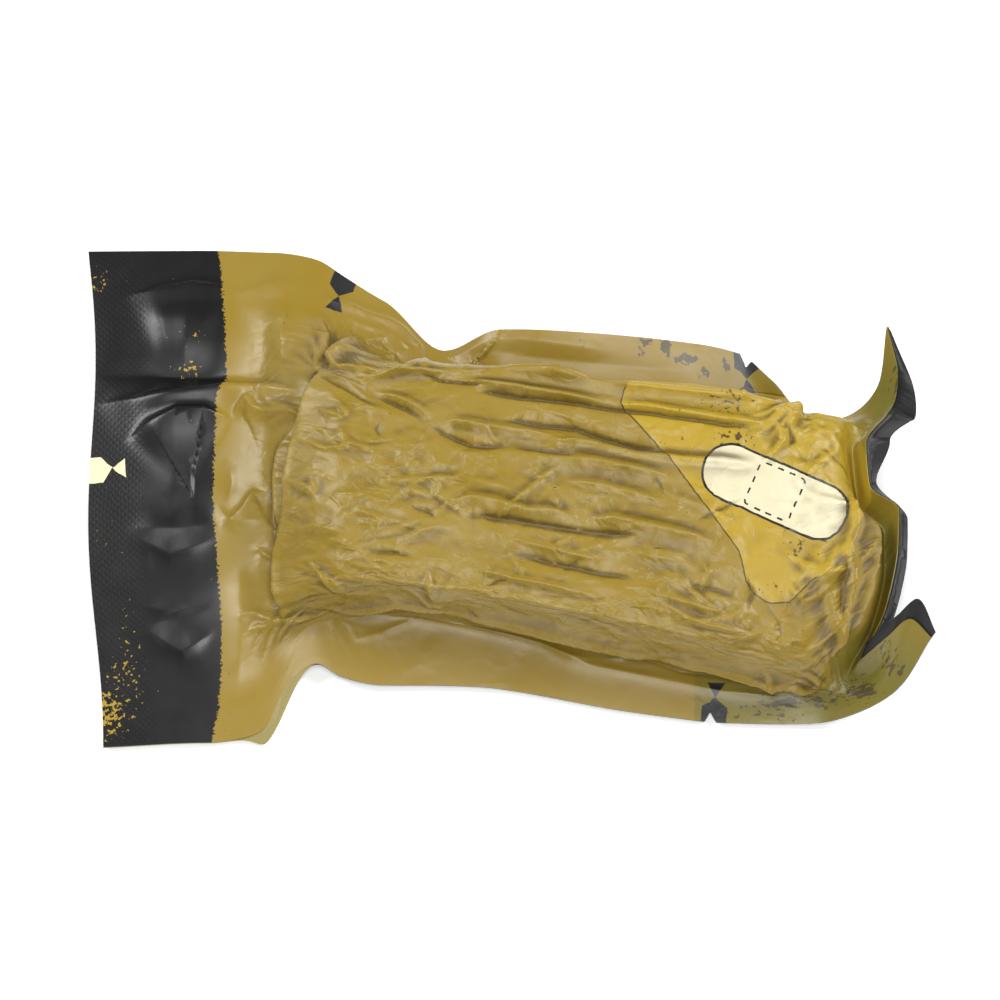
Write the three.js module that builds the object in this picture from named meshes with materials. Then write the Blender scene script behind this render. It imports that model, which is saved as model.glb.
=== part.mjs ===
// A vacuum-packed trauma bandage: a folded dressing shrunk into a flat film pouch that lies on its back.
// Millimetres, +Z up. The pouch lies along X, its flat sealed end at -X and its curled end at +X.
import * as THREE from "three";

// Driving dimensions.
const flatLength = 60; // flat film between the sealed end and the dressing
const blockLength = 172; // the stretch that the dressing fills
const endFlange = 16; // film past the dressing's right end
const blockWidth = 82;
const blockHeight = 35;
const sideFlange = 36; // widest film margin beside the dressing
const sealWidth = 14; // width of the pressed seal at the flat end
const filmWall = 1;
const sealGap = 0.3; // clearance between the two films where they are sealed
const packClearance = 0.8; // clearance between the dressing and the films
const edgeSlant = 4.4; // how far the flat end is cut out of square
const edgeWave = 1.6; // waviness of the flat end's cut edge
const foldHeight = 3.5; // height of the tallest fold in the front film

// Places across the film, as shares of its flat width from the rear edge to the front edge.
const across = { rearFoot: 0.1, rearTop: 0.25, crown: 0.48, frontTop: 0.71, frontFoot: 0.89 };
const partingShare = 0.06; // share of the flat width over which the films part beside the dressing
const edgeWaves = 1.3; // waves of the flat end's cut edge over its width

// Places along the film run from 0 to 1 over the flat end and from 1 to 2 over the dressing.
const neckStart = 0.84; // where the film starts to rise to the dressing
const dressingStart = 1.03;
const neckEnd = 1.2; // where the dressing has its full height
const bodyEnd = 1.87; // the last cross-section before the curled end

// Plan of the cross-sections. Foot and top places are shares of blockWidth, and flanges shares of sideFlange.
// along, rearFlange, rearFoot, rearTop, frontTop, frontFoot, frontFlange
const PLAN = [
  [0.0, 0.43, 0.75, 0.463, -0.402, -0.744, 0.47],
  [0.56, 0.436, 0.75, 0.463, -0.402, -0.744, 0.43],
  [0.86, 0.43, 0.744, 0.463, -0.402, -0.707, 0.43],
  [0.97, 0.444, 0.732, 0.451, -0.39, -0.634, 0.28],
  [1.04, 0.458, 0.695, 0.427, -0.402, -0.512, 0.3],
  [1.09, 0.486, 0.61, 0.378, -0.427, -0.488, 0.472],
  [1.16, 0.472, 0.524, 0.335, -0.433, -0.463, 0.583],
  [1.26, 0.236, 0.439, 0.341, -0.463, -0.486, 0.53],
  [1.36, 0.361, 0.427, 0.335, -0.502, -0.518, 0.486],
  [1.53, 0.389, 0.39, 0.287, -0.573, -0.591, 0.472],
  [1.7, 0.428, 0.341, 0.244, -0.646, -0.671, 0.411],
  [1.77, 0.39, 0.323, 0.232, -0.683, -0.713, 0.333],
  [1.82, 0.22, 0.305, 0.226, -0.7, -0.738, 0.283],
  [1.87, 0.11, 0.232, 0.189, -0.707, -0.756, 0.244],
];

// Heights of the same cross-sections, as shares of blockHeight.
// along, rearEdge, rearFoot, rearTop, crown, frontTop, frontFoot, frontEdge
const HEIGHTS = [
  [0.0, 0.071, 0.071, 0.09, 0.086, 0.075, 0.063, 0.06],
  [0.56, 0.071, 0.114, 0.171, 0.171, 0.143, 0.09, 0.06],
  [0.86, 0.086, 0.171, 0.257, 0.271, 0.214, 0.114, 0.07],
  [0.97, 0.114, 0.229, 0.371, 0.429, 0.343, 0.171, 0.114],
  [1.04, 0.171, 0.271, 0.571, 0.743, 0.629, 0.257, 0.171],
  [1.09, 0.2, 0.257, 0.771, 0.9, 0.8, 0.2, 0.129],
  [1.16, 0.171, 0.229, 0.886, 0.971, 0.857, 0.171, 0.086],
  [1.26, 0.157, 0.257, 0.943, 1.0, 0.9, 0.157, 0.071],
  [1.36, 0.4, 0.286, 0.971, 1.014, 0.914, 0.143, 0.071],
  [1.53, 0.457, 0.314, 0.986, 1.014, 0.9, 0.129, 0.063],
  [1.7, 0.4, 0.286, 0.957, 1.0, 0.814, 0.114, 0.06],
  [1.77, 0.386, 0.271, 0.943, 0.986, 0.743, 0.114, 0.06],
  [1.82, 0.371, 0.257, 0.886, 0.971, 0.686, 0.114, 0.06],
  [1.87, 0.28, 0.243, 0.771, 0.929, 0.629, 0.129, 0.063],
];

// The curled end. Each row is a line of the film from the dressing's end crest through the root groove to the cut
// edge. Out is a share of endFlange past the dressing, side a share of blockWidth and up a share of blockHeight.
// across, crestOut, crestSide, crestUp, rootOut, rootSide, rootUp, edgeOut, edgeSide, edgeUp
const CURL = [
  [0.0, -0.64, 0.25, 0.37, 0.0, 0.29, 0.83, 0.17, 0.45, 1.31],
  [0.1, -0.64, 0.225, 0.4, 0.03, 0.245, 0.77, 0.375, 0.3, 1.09],
  [0.18, -0.66, 0.213, 0.57, -0.03, 0.19, 0.69, 0.32, 0.227, 0.94],
  [0.25, -0.66, 0.19, 0.74, -0.25, 0.134, 0.66, 0.19, 0.188, 0.86],
  [0.32, -0.72, 0.1, 0.8, -0.44, 0.09, 0.62, -0.2, 0.09, 0.8],
  [0.42, -0.6, -0.11, 0.8, -0.34, -0.09, 0.5, -0.14, -0.06, 0.72],
  [0.53, -0.12, -0.238, 0.74, 0.14, -0.2, 0.4, 0.4, -0.14, 0.63],
  [0.62, -0.1, -0.36, 0.71, 0.14, -0.33, 0.36, 0.38, -0.27, 0.57],
  [0.71, -0.33, -0.54, 0.69, -0.09, -0.53, 0.31, 0.14, -0.5, 0.53],
  [0.77, -0.66, -0.645, 0.57, -0.42, -0.65, 0.26, -0.2, -0.63, 0.43],
  [0.83, -0.75, -0.71, 0.27, -0.52, -0.7, 0.24, -0.32, -0.675, 0.42],
  [0.89, -0.73, -0.765, 0.2, -0.2, -0.735, 0.31, 0.16, -0.635, 0.74],
  [0.95, -0.69, -0.815, 0.16, 0.08, -0.77, 0.45, 0.56, -0.605, 0.98],
  [1.0, -0.8, -0.857, 0.11, 0.28, -0.805, 0.48, 0.94, -0.673, 0.97],
];

// How far the back film's cut edge stands past the front film's at the curled end, in the same shares.
// across, peelOut, peelSide, peelUp
const PEEL = [
  [0.0, 0.09, -0.03, -0.06],
  [0.18, 0.37, -0.04, -0.09],
  [0.32, 0.42, 0.03, -0.14],
  [0.42, 0.1, 0.02, -0.06],
  [0.53, 0.13, -0.02, -0.08],
  [0.71, 0.15, 0.0, -0.11],
  [0.83, 0.11, 0.045, 0.14],
  [0.95, 0.12, 0.05, 0.15],
  [1.0, 0.06, 0.01, 0.05],
];

// Main folds of the front film. Each is a ridge, or a groove where its rise is negative, along a straight line on the
// film. Rise is a share of foldHeight and spread a share of the film's flat width.
// fromAlong, fromAcross, toAlong, toAcross, rise, spread
const FOLDS = [
  [0.1, 0.32, 1.0, 0.27, 0.8, 0.03],
  [0.3, 0.12, 1.0, 0.08, 0.6, 0.03],
  [0.3, 0.62, 0.95, 0.55, 0.5, 0.035],
  [1.02, 0.04, 1.22, 0.06, 1.0, 0.025],
  [1.05, 0.14, 1.25, 0.12, -0.9, 0.03],
  [1.2, 0.285, 1.84, 0.285, -0.9, 0.018],
  [1.2, 0.32, 1.8, 0.32, 0.6, 0.018],
  [1.12, 0.39, 1.84, 0.39, -0.9, 0.018],
  [1.12, 0.425, 1.7, 0.425, 0.6, 0.018],
  [1.06, 0.5, 1.5, 0.47, -0.7, 0.02],
  [1.1, 0.6, 1.6, 0.6, -0.6, 0.018],
  [1.1, 0.64, 1.6, 0.64, 0.5, 0.018],
  [1.3, 0.71, 1.82, 0.71, 0.6, 0.018],
];

const leftX = -(flatLength + blockLength + endFlange) / 2;
const blockStartX = leftX + flatLength;
const blockEndX = blockStartX + blockLength;
const filmStep = filmWall + sealGap;
const floorHeight = filmWall / 2;

// Reads every column of a table at one place along its first column. The slopes never overshoot a row.
function readTable(rows, place) {
  const last = rows.length - 1;
  const at = THREE.MathUtils.clamp(place, rows[0][0], rows[last][0]);
  const upper = Math.max(
    1,
    rows.findIndex((row) => row[0] >= at),
  );
  const lower = upper - 1;
  const span = rows[upper][0] - rows[lower][0];
  const share = (at - rows[lower][0]) / span;
  const rate = (k, column) => (rows[k + 1][column] - rows[k][column]) / (rows[k + 1][0] - rows[k][0]);
  const slope = (k, column) => {
    if (k === 0) return rate(0, column);
    if (k === last) return rate(last - 1, column);
    const before = rate(k - 1, column);
    const after = rate(k, column);
    return before * after <= 0 ? 0 : (2 * before * after) / (before + after);
  };
  return rows[lower].map((start, column) => {
    if (column === 0) return at;
    const end = rows[upper][column];
    const a = slope(lower, column) * span;
    const b = slope(upper, column) * span;
    const rise = end - start;
    return start + share * (a + share * (3 * rise - 2 * a - b + share * (a + b - 2 * rise)));
  });
}

// The film over the flat end and the dressing.
function bodyPoint(along, place) {
  const [, rearFlange, rearFoot, rearTop, frontTop, frontFoot, frontFlange] = readTable(PLAN, along);
  const up = readTable(HEIGHTS, along);
  const profile = [
    [0, rearFoot * blockWidth + rearFlange * sideFlange, up[1]],
    [across.rearFoot, rearFoot * blockWidth, up[2]],
    [across.rearTop, rearTop * blockWidth, up[3]],
    [across.crown, ((rearTop + frontTop) / 2) * blockWidth, up[4]],
    [across.frontTop, frontTop * blockWidth, up[5]],
    [across.frontFoot, frontFoot * blockWidth, up[6]],
    [1, frontFoot * blockWidth - frontFlange * sideFlange, up[7]],
  ];
  const [, y, height] = readTable(profile, place);
  const flatShare = Math.max(0, 1 - along);
  const wave = Math.sin(2 * Math.PI * edgeWaves * place);
  const slant = flatShare * (edgeSlant * place + edgeWave * wave);
  const x = along < 1 ? leftX + along * flatLength : blockStartX + (along - 1) * blockLength;
  return new THREE.Vector3(x + slant, y, height * blockHeight);
}

// The crest, the root groove and the cut edge of the curled end at one place across the film.
function curlStops(place) {
  const [, ...row] = readTable(CURL, place);
  return [0, 3, 6].map(
    (k) =>
      new THREE.Vector3(blockEndX + row[k] * endFlange, row[k + 1] * blockWidth, row[k + 2] * blockHeight),
  );
}

// The film past the dressing's end, from 0 at the last cross-section to 1 at the cut edge.
const CURL_LEAD = 0.06; // how far before the last cross-section the curl's line takes its direction
function curlLine(place) {
  const before = bodyPoint(bodyEnd - CURL_LEAD, place);
  const start = bodyPoint(bodyEnd, place);
  return new THREE.CatmullRomCurve3([before, start, ...curlStops(place)], false, "centripetal");
}

// Rows of the grid that both films share, closer together where the film turns.
function spread(from, to, steps) {
  return Array.from({ length: steps }, (_, k) => from + ((to - from) * k) / steps);
}
const sealAlong = sealWidth / flatLength;
const BODY_ROWS = [
  ...spread(0, sealAlong, 2),
  ...spread(sealAlong, neckStart, 5),
  ...spread(neckStart, neckEnd, 11),
  ...spread(neckEnd, bodyEnd, 11),
];
const CURL_STEPS = 13;
const PEEL_STEPS = 2;

// Places along the curled end, from 0 at the last cross-section to 1 at the cut edge.
const NARROW_SHARE = 0.12; // where the parted stretch starts to narrow
const CREST_SHARE = 1 / 3;
const CLOSED_SHARE = 0.63; // where the films are sealed again
const ROOT_SHARE = 2 / 3;
const GROOVE_SHARE = 0.08; // half the groove's stretch, which the back film passes level

// Ends of the stretch inside the flat end's seal over which the films part, in seal widths.
const OPENING = { start: 0.6, end: 1.6 };
const COLUMNS = [
  ...spread(0, across.rearFoot, 3),
  ...spread(across.rearFoot, across.rearTop, 5),
  ...spread(across.rearTop, across.frontTop, 13),
  ...spread(across.frontTop, across.frontFoot, 5),
  ...spread(across.frontFoot, 1, 3),
  1,
];

// The smooth film as a grid of points, one row for each place along it.
function filmGrid() {
  const curls = COLUMNS.map(curlLine);
  const body = BODY_ROWS.map((along) => COLUMNS.map((place) => bodyPoint(along, place)));
  const curl = spread(0, 1, CURL_STEPS)
    .concat(1)
    .map((share) => curls.map((line) => line.getPoint((1 + 3 * share) / 4)));
  return [...body, ...curl];
}

// Unit normals of a grid, out of the pouch's upper face.
function gridNormals(grid) {
  const lastRow = grid.length - 1;
  const lastColumn = grid[0].length - 1;
  return grid.map((row, i) =>
    row.map((_, j) => {
      const lengthwise = grid[Math.min(i + 1, lastRow)][j].clone().sub(grid[Math.max(i - 1, 0)][j]);
      const crosswise = grid[i][Math.min(j + 1, lastColumn)].clone().sub(grid[i][Math.max(j - 1, 0)]);
      return crosswise.cross(lengthwise).normalize();
    }),
  );
}

// A grid moved along its normals by a distance for each point.
function offsetGrid(grid, normals, distance) {
  return grid.map((row, i) =>
    row.map((point, j) => point.clone().addScaledVector(normals[i][j], distance(i, j))),
  );
}

// What one fold adds at a place on the film, as a share of foldHeight.
function foldShape(fold, along, place) {
  const [fromAlong, fromAcross, toAlong, toAcross, rise, width] = fold;
  const share = (along - fromAlong) / (toAlong - fromAlong);
  if (share <= 0 || share >= 1) return 0;
  const away = (place - THREE.MathUtils.lerp(fromAcross, toAcross, share)) / width;
  return rise * Math.sin(Math.PI * share) ** 0.5 * Math.exp(-away * away);
}

// How high the folds stand at one point of the grid.
function foldRise(i, j) {
  if (i >= BODY_ROWS.length) return 0;
  const total = FOLDS.reduce((sum, fold) => sum + foldShape(fold, BODY_ROWS[i], COLUMNS[j]), 0);
  return foldHeight * total;
}

// How far a row of the grid lies along the curled end.
function curlShare(i) {
  return Math.max(0, (i - BODY_ROWS.length) / CURL_STEPS);
}

// The part of the curled end that lies under the dressing's own end, from 0 to 1.
function underCrest(place) {
  const ease = THREE.MathUtils.smoothstep;
  return ease(place, across.rearTop, across.rearTop + partingShare) *
    (1 - ease(place, across.frontTop, across.frontTop + partingShare));
}

// How far the two films stand apart, from 0 where they are sealed to 1 over the dressing.
function parting(i, j) {
  const ease = THREE.MathUtils.smoothstep;
  const place = COLUMNS[j];
  const margins = ease(place, across.rearFoot, across.rearFoot + partingShare) *
    (1 - ease(place, across.frontFoot - partingShare, across.frontFoot));
  if (i < BODY_ROWS.length) {
    return margins * ease(BODY_ROWS[i], OPENING.start * sealAlong, OPENING.end * sealAlong);
  }
  const share = curlShare(i);
  const inner = THREE.MathUtils.lerp(margins, underCrest(place), ease(share, NARROW_SHARE, CREST_SHARE));
  return inner * (1 - ease(share, CREST_SHARE, CLOSED_SHARE));
}

// A closed sheet from its upper and lower grids.
function sheetGeometry(upper, lower) {
  const rows = upper.length;
  const columns = upper[0].length;
  const points = [...upper.flat(), ...lower.flat()];
  const index = [];
  const top = (i, j) => i * columns + j;
  const bottom = (i, j) => rows * columns + top(i, j);
  const quad = (a, b, c, d) => index.push(a, b, c, a, c, d);
  for (let i = 0; i + 1 < rows; i++) {
    for (let j = 0; j + 1 < columns; j++) {
      quad(top(i, j), top(i, j + 1), top(i + 1, j + 1), top(i + 1, j));
      quad(bottom(i, j), bottom(i + 1, j), bottom(i + 1, j + 1), bottom(i, j + 1));
    }
    quad(top(i, 0), top(i + 1, 0), bottom(i + 1, 0), bottom(i, 0));
    quad(top(i + 1, columns - 1), top(i, columns - 1), bottom(i, columns - 1), bottom(i + 1, columns - 1));
  }
  for (let j = 0; j + 1 < columns; j++) {
    quad(top(0, j + 1), top(0, j), bottom(0, j), bottom(0, j + 1));
    quad(top(rows - 1, j), top(rows - 1, j + 1), bottom(rows - 1, j + 1), bottom(rows - 1, j));
  }
  const geometry = new THREE.BufferGeometry().setFromPoints(points);
  geometry.setIndex(index);
  geometry.computeVertexNormals();
  return geometry;
}

// A sheet of the film's wall on both sides of a grid.
function filmSheet(grid) {
  const normals = gridNormals(grid);
  return sheetGeometry(
    offsetGrid(grid, normals, () => filmWall / 2),
    offsetGrid(grid, normals, () => -filmWall / 2),
  );
}

const smoothFilm = filmGrid();
const smoothNormals = gridNormals(smoothFilm);

// The front film: the smooth film with its folds raised where it isn't sealed.
const foldedFilm = offsetGrid(smoothFilm, smoothNormals, (i, j) => foldRise(i, j) * parting(i, j));

// The back film: a step below the front film in the seals, flat on the floor under the dressing, and past the front
// film's cut edge at the curled end.
function backFilm() {
  const sealed = offsetGrid(smoothFilm, smoothNormals, () => -filmStep);
  const grid = sealed.map((row, i) =>
    row.map((point, j) => {
      const low = point.clone();
      if (curlShare(i) < ROOT_SHARE + GROOVE_SHARE) {
        const [, root] = curlStops(COLUMNS[j]);
        const capped = Math.min(point.z, root.z - filmStep);
        low.z = THREE.MathUtils.lerp(point.z, capped, underCrest(COLUMNS[j]));
      }
      const floor = smoothFilm[i][j].clone().setZ(Math.min(low.z, floorHeight));
      return low.lerp(floor, parting(i, j));
    }),
  );
  const cutEdge = grid[grid.length - 1];
  for (let step = 1; step <= PEEL_STEPS; step++) {
    const row = cutEdge.map((point, j) => {
      const [, out, side, up] = readTable(PEEL, COLUMNS[j]);
      const reach = new THREE.Vector3(out * endFlange, side * blockWidth, up * blockHeight);
      return point.clone().addScaledVector(reach, step / PEEL_STEPS);
    });
    grid.push(row);
  }
  return filmSheet(grid);
}

// The dressing: a flat-bottomed pack that fills the space between the films. Its sides lean in by one film step, which
// leaves room for the back film where it rises to the seals.
const CURL_ROWS_FILLED = 2; // rows of the curled end that the dressing reaches into
const FRONT_SHARE = 0.05; // how far across the film the dressing reaches past its front top edge
function foldedDressing() {
  const firstRow = BODY_ROWS.findIndex((along) => along > dressingStart);
  const lastRow = BODY_ROWS.length + CURL_ROWS_FILLED;
  const firstColumn = COLUMNS.findIndex((place) => place > across.rearFoot + partingShare);
  const lastColumn = COLUMNS.findIndex((place) => place > across.frontTop + FRONT_SHARE);
  const normals = gridNormals(foldedFilm);
  const inset = (depth) =>
    offsetGrid(foldedFilm, normals, () => -depth)
      .slice(firstRow, lastRow)
      .map((row) => row.slice(firstColumn, lastColumn));
  const sink = filmWall / 2 + packClearance;
  const bottom = inset(sink + filmStep).map((row) =>
    row.map((point) => point.setZ(filmWall + packClearance)),
  );
  return sheetGeometry(inset(sink), bottom);
}

// One piece of the pouch, as a mesh with a plain finish.
function piece(name, geometry, finish) {
  const material = new THREE.MeshStandardMaterial({ ...finish, metalness: 0 });
  const mesh = new THREE.Mesh(geometry, material);
  mesh.name = name;
  return mesh;
}

const GOLD_PRINT = { color: 0xa88c3c, roughness: 0.4 };
const BLACK_PRINT = { color: 0x2b2a28, roughness: 0.5 };
const COTTON = { color: 0xe8e2cf, roughness: 0.9 };

const pouch = new THREE.Group();
pouch.add(
  piece("front_film", filmSheet(foldedFilm), GOLD_PRINT),
  piece("back_film", backFilm(), BLACK_PRINT),
  piece("folded_dressing", foldedDressing(), COTTON),
);

// The origin is at the bottom centre of the whole.
const whole = new THREE.Box3().setFromObject(pouch, true);
const middle = whole.getCenter(new THREE.Vector3());
pouch.position.set(-middle.x, -middle.y, -whole.min.z);

const bandage = new THREE.Group();
bandage.add(pouch);

export default bandage;
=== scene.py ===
"""A vacuum-packed trauma bandage in its printed film pouch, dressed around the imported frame."""

import logging
import math
from dataclasses import dataclass
from enum import Enum

import bmesh
import bpy
import numpy as np
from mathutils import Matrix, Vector, noise


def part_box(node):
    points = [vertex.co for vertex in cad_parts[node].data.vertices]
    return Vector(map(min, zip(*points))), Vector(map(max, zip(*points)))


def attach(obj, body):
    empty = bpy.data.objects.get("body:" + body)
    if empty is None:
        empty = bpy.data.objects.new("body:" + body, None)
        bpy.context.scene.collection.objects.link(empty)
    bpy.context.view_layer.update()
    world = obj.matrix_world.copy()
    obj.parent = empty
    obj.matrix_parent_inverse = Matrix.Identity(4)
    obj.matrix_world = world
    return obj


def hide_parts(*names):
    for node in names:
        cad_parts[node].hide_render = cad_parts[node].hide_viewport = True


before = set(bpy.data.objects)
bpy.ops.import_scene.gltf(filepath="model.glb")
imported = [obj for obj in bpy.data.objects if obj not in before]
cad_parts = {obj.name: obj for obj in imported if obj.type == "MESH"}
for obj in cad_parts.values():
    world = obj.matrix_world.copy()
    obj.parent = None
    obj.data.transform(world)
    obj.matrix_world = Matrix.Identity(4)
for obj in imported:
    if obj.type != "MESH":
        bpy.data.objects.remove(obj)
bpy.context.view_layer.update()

MM = 0.001
log = logging.getLogger("bandage")

# The pouch's sizes in millimetres, as in the part's source.
FLAT_LENGTH = 60.0
BLOCK_LENGTH = 172.0
END_FLANGE = 16.0
BLOCK_WIDTH = 82.0
BLOCK_HEIGHT = 35.0
SIDE_FLANGE = 36.0
SEAL_WIDTH = 14.0
EDGE_SLANT = 4.4
EDGE_WAVE = 1.6
EDGE_WAVES = 1.3
FOLD_HEIGHT = 3.5
LEFT_X = -(FLAT_LENGTH + BLOCK_LENGTH + END_FLANGE) / 2
BLOCK_START_X = LEFT_X + FLAT_LENGTH
BLOCK_END_X = BLOCK_START_X + BLOCK_LENGTH
# The foremost edge, at the flat end, before the frame centres the part.
FRONT_EDGE_Y = -77.93

# Shares of the film's flat width at which its cross-section turns, from the rear edge to the front edge.
REAR_FOOT, REAR_TOP, CROWN, FRONT_TOP, FRONT_FOOT = 0.1, 0.25, 0.48, 0.71, 0.89
PARTING_SHARE = 0.06
BODY_END = 1.87
CURL_LEAD = 0.06
NARROW_SHARE, CREST_SHARE, CLOSED_SHARE = 0.12, 1 / 3, 0.63
# The films part behind the pressed seal, between these shares of its width.
OPENING_START, OPENING_END = 0.6, 1.6
# The wavelength of Blender's band texture at scale 1, and the refractive index of the laminate.
BAND_WAVELENGTH = 0.314
LAMINATE_IOR = 1.5

# along, rearFlange, rearFoot, rearTop, frontTop, frontFoot, frontFlange
PLAN = np.array([
    (0.0, 0.43, 0.75, 0.463, -0.402, -0.744, 0.47),
    (0.56, 0.436, 0.75, 0.463, -0.402, -0.744, 0.43),
    (0.86, 0.43, 0.744, 0.463, -0.402, -0.707, 0.43),
    (0.97, 0.444, 0.732, 0.451, -0.39, -0.634, 0.28),
    (1.04, 0.458, 0.695, 0.427, -0.402, -0.512, 0.3),
    (1.09, 0.486, 0.61, 0.378, -0.427, -0.488, 0.472),
    (1.16, 0.472, 0.524, 0.335, -0.433, -0.463, 0.583),
    (1.26, 0.236, 0.439, 0.341, -0.463, -0.486, 0.53),
    (1.36, 0.361, 0.427, 0.335, -0.502, -0.518, 0.486),
    (1.53, 0.389, 0.39, 0.287, -0.573, -0.591, 0.472),
    (1.7, 0.428, 0.341, 0.244, -0.646, -0.671, 0.411),
    (1.77, 0.39, 0.323, 0.232, -0.683, -0.713, 0.333),
    (1.82, 0.22, 0.305, 0.226, -0.7, -0.738, 0.283),
    (1.87, 0.11, 0.232, 0.189, -0.707, -0.756, 0.244),
])

# along, rearEdge, rearFoot, rearTop, crown, frontTop, frontFoot, frontEdge
HEIGHTS = np.array([
    (0.0, 0.071, 0.071, 0.09, 0.086, 0.075, 0.063, 0.06),
    (0.56, 0.071, 0.114, 0.171, 0.171, 0.143, 0.09, 0.06),
    (0.86, 0.086, 0.171, 0.257, 0.271, 0.214, 0.114, 0.07),
    (0.97, 0.114, 0.229, 0.371, 0.429, 0.343, 0.171, 0.114),
    (1.04, 0.171, 0.271, 0.571, 0.743, 0.629, 0.257, 0.171),
    (1.09, 0.2, 0.257, 0.771, 0.9, 0.8, 0.2, 0.129),
    (1.16, 0.171, 0.229, 0.886, 0.971, 0.857, 0.171, 0.086),
    (1.26, 0.157, 0.257, 0.943, 1.0, 0.9, 0.157, 0.071),
    (1.36, 0.4, 0.286, 0.971, 1.014, 0.914, 0.143, 0.071),
    (1.53, 0.457, 0.314, 0.986, 1.014, 0.9, 0.129, 0.063),
    (1.7, 0.4, 0.286, 0.957, 1.0, 0.814, 0.114, 0.06),
    (1.77, 0.386, 0.271, 0.943, 0.986, 0.743, 0.114, 0.06),
    (1.82, 0.371, 0.257, 0.886, 0.971, 0.686, 0.114, 0.06),
    (1.87, 0.28, 0.243, 0.771, 0.929, 0.629, 0.129, 0.063),
])

# across, crestOut, crestSide, crestUp, rootOut, rootSide, rootUp, edgeOut, edgeSide, edgeUp
CURL = np.array([
    (0.0, -0.64, 0.25, 0.37, 0.0, 0.29, 0.83, 0.17, 0.45, 1.31),
    (0.1, -0.64, 0.225, 0.4, 0.03, 0.245, 0.77, 0.375, 0.3, 1.09),
    (0.18, -0.66, 0.213, 0.57, -0.03, 0.19, 0.69, 0.32, 0.227, 0.94),
    (0.25, -0.66, 0.19, 0.74, -0.25, 0.134, 0.66, 0.19, 0.188, 0.86),
    (0.32, -0.72, 0.1, 0.8, -0.44, 0.09, 0.62, -0.2, 0.09, 0.8),
    (0.42, -0.6, -0.11, 0.8, -0.34, -0.09, 0.5, -0.14, -0.06, 0.72),
    (0.53, -0.12, -0.238, 0.74, 0.14, -0.2, 0.4, 0.4, -0.14, 0.63),
    (0.62, -0.1, -0.36, 0.71, 0.14, -0.33, 0.36, 0.38, -0.27, 0.57),
    (0.71, -0.33, -0.54, 0.69, -0.09, -0.53, 0.31, 0.14, -0.5, 0.53),
    (0.77, -0.66, -0.645, 0.57, -0.42, -0.65, 0.26, -0.2, -0.63, 0.43),
    (0.83, -0.75, -0.71, 0.27, -0.52, -0.7, 0.24, -0.32, -0.675, 0.42),
    (0.89, -0.73, -0.765, 0.2, -0.2, -0.735, 0.31, 0.16, -0.635, 0.74),
    (0.95, -0.69, -0.815, 0.16, 0.08, -0.77, 0.45, 0.56, -0.605, 0.98),
    (1.0, -0.8, -0.857, 0.11, 0.28, -0.805, 0.48, 0.94, -0.673, 0.97),
])

# across, peelOut, peelSide, peelUp
PEEL = np.array([
    (0.0, 0.09, -0.03, -0.06),
    (0.18, 0.37, -0.04, -0.09),
    (0.32, 0.42, 0.03, -0.14),
    (0.42, 0.1, 0.02, -0.06),
    (0.53, 0.13, -0.02, -0.08),
    (0.71, 0.15, 0.0, -0.11),
    (0.83, 0.11, 0.045, 0.14),
    (0.95, 0.12, 0.05, 0.15),
    (1.0, 0.06, 0.01, 0.05),
])

# fromAlong, fromAcross, toAlong, toAcross, rise, spread
SOFT_FOLDS = np.array([
    (0.1, 0.32, 1.0, 0.27, 0.8, 0.03),
    (0.3, 0.12, 1.0, 0.08, 0.6, 0.03),
    (0.3, 0.62, 0.95, 0.55, 0.5, 0.035),
    (1.02, 0.04, 1.22, 0.06, 1.0, 0.025),
    (1.05, 0.14, 1.25, 0.12, -0.9, 0.03),
    (1.2, 0.285, 1.84, 0.285, -0.9, 0.018),
    (1.2, 0.32, 1.8, 0.32, 0.6, 0.018),
    (1.12, 0.39, 1.84, 0.39, -0.9, 0.018),
    (1.12, 0.425, 1.7, 0.425, 0.6, 0.018),
    (1.06, 0.5, 1.5, 0.47, -0.7, 0.02),
    (1.1, 0.6, 1.6, 0.6, -0.6, 0.018),
    (1.1, 0.64, 1.6, 0.64, 0.5, 0.018),
    (1.3, 0.71, 1.82, 0.71, 0.6, 0.018),
])


class Held(Enum):
    """How a sheet of film is held."""

    STRETCHED = "stretched"
    LAID = "laid"


class Ink(Enum):
    """The two inks of the tear marks."""

    BLACK = "#232325"
    CREAM = "#e9e0b4"


@dataclass(frozen=True)
class PhotoFrame:
    """How the photograph's pixels lie over the pouch."""

    pixels_per_mm: float = 3.4
    column_of_origin: float = 507.5
    row_of_origin: float = 499.0
    elevation: float = math.radians(70.0)

    def project(self, points: np.ndarray) -> tuple[np.ndarray, np.ndarray]:
        """Turns millimetres into pixels.

        Args:
            points: places in millimetres, x, y and z last.

        Returns:
            The pixel columns and rows.
        """
        depth = points[..., 1] * math.sin(self.elevation) + points[..., 2] * math.cos(self.elevation)
        column = self.column_of_origin + self.pixels_per_mm * points[..., 0]
        return column, self.row_of_origin - self.pixels_per_mm * depth

    def view_axis(self) -> np.ndarray:
        """Points from the object to the camera."""
        return np.array([0.0, -math.cos(self.elevation), math.sin(self.elevation)])


@dataclass(frozen=True)
class Fold:
    """A crease of the film along a line of pixels, with its widths to either side of its travel in mm."""

    height: float
    left: float
    right: float
    line: tuple[tuple[float, float], ...]


@dataclass(frozen=True)
class Patch:
    """A soft round patch on the film, in pixels, with a weight."""

    column: float
    row: float
    wide: float
    tall: float
    weight: float = 1.0


@dataclass(frozen=True)
class Fan:
    """Creases that spread from one pixel of the photograph, between two angles, clockwise from the right."""

    column: float
    row: float
    first_angle: float
    last_angle: float
    reach: float
    creases: int
    height: float


@dataclass(frozen=True)
class Net:
    """The make of an uneven layer: its size, its stretch along the film and its place in the noise."""

    size_mm: float
    stretch: float
    seed: float


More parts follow.
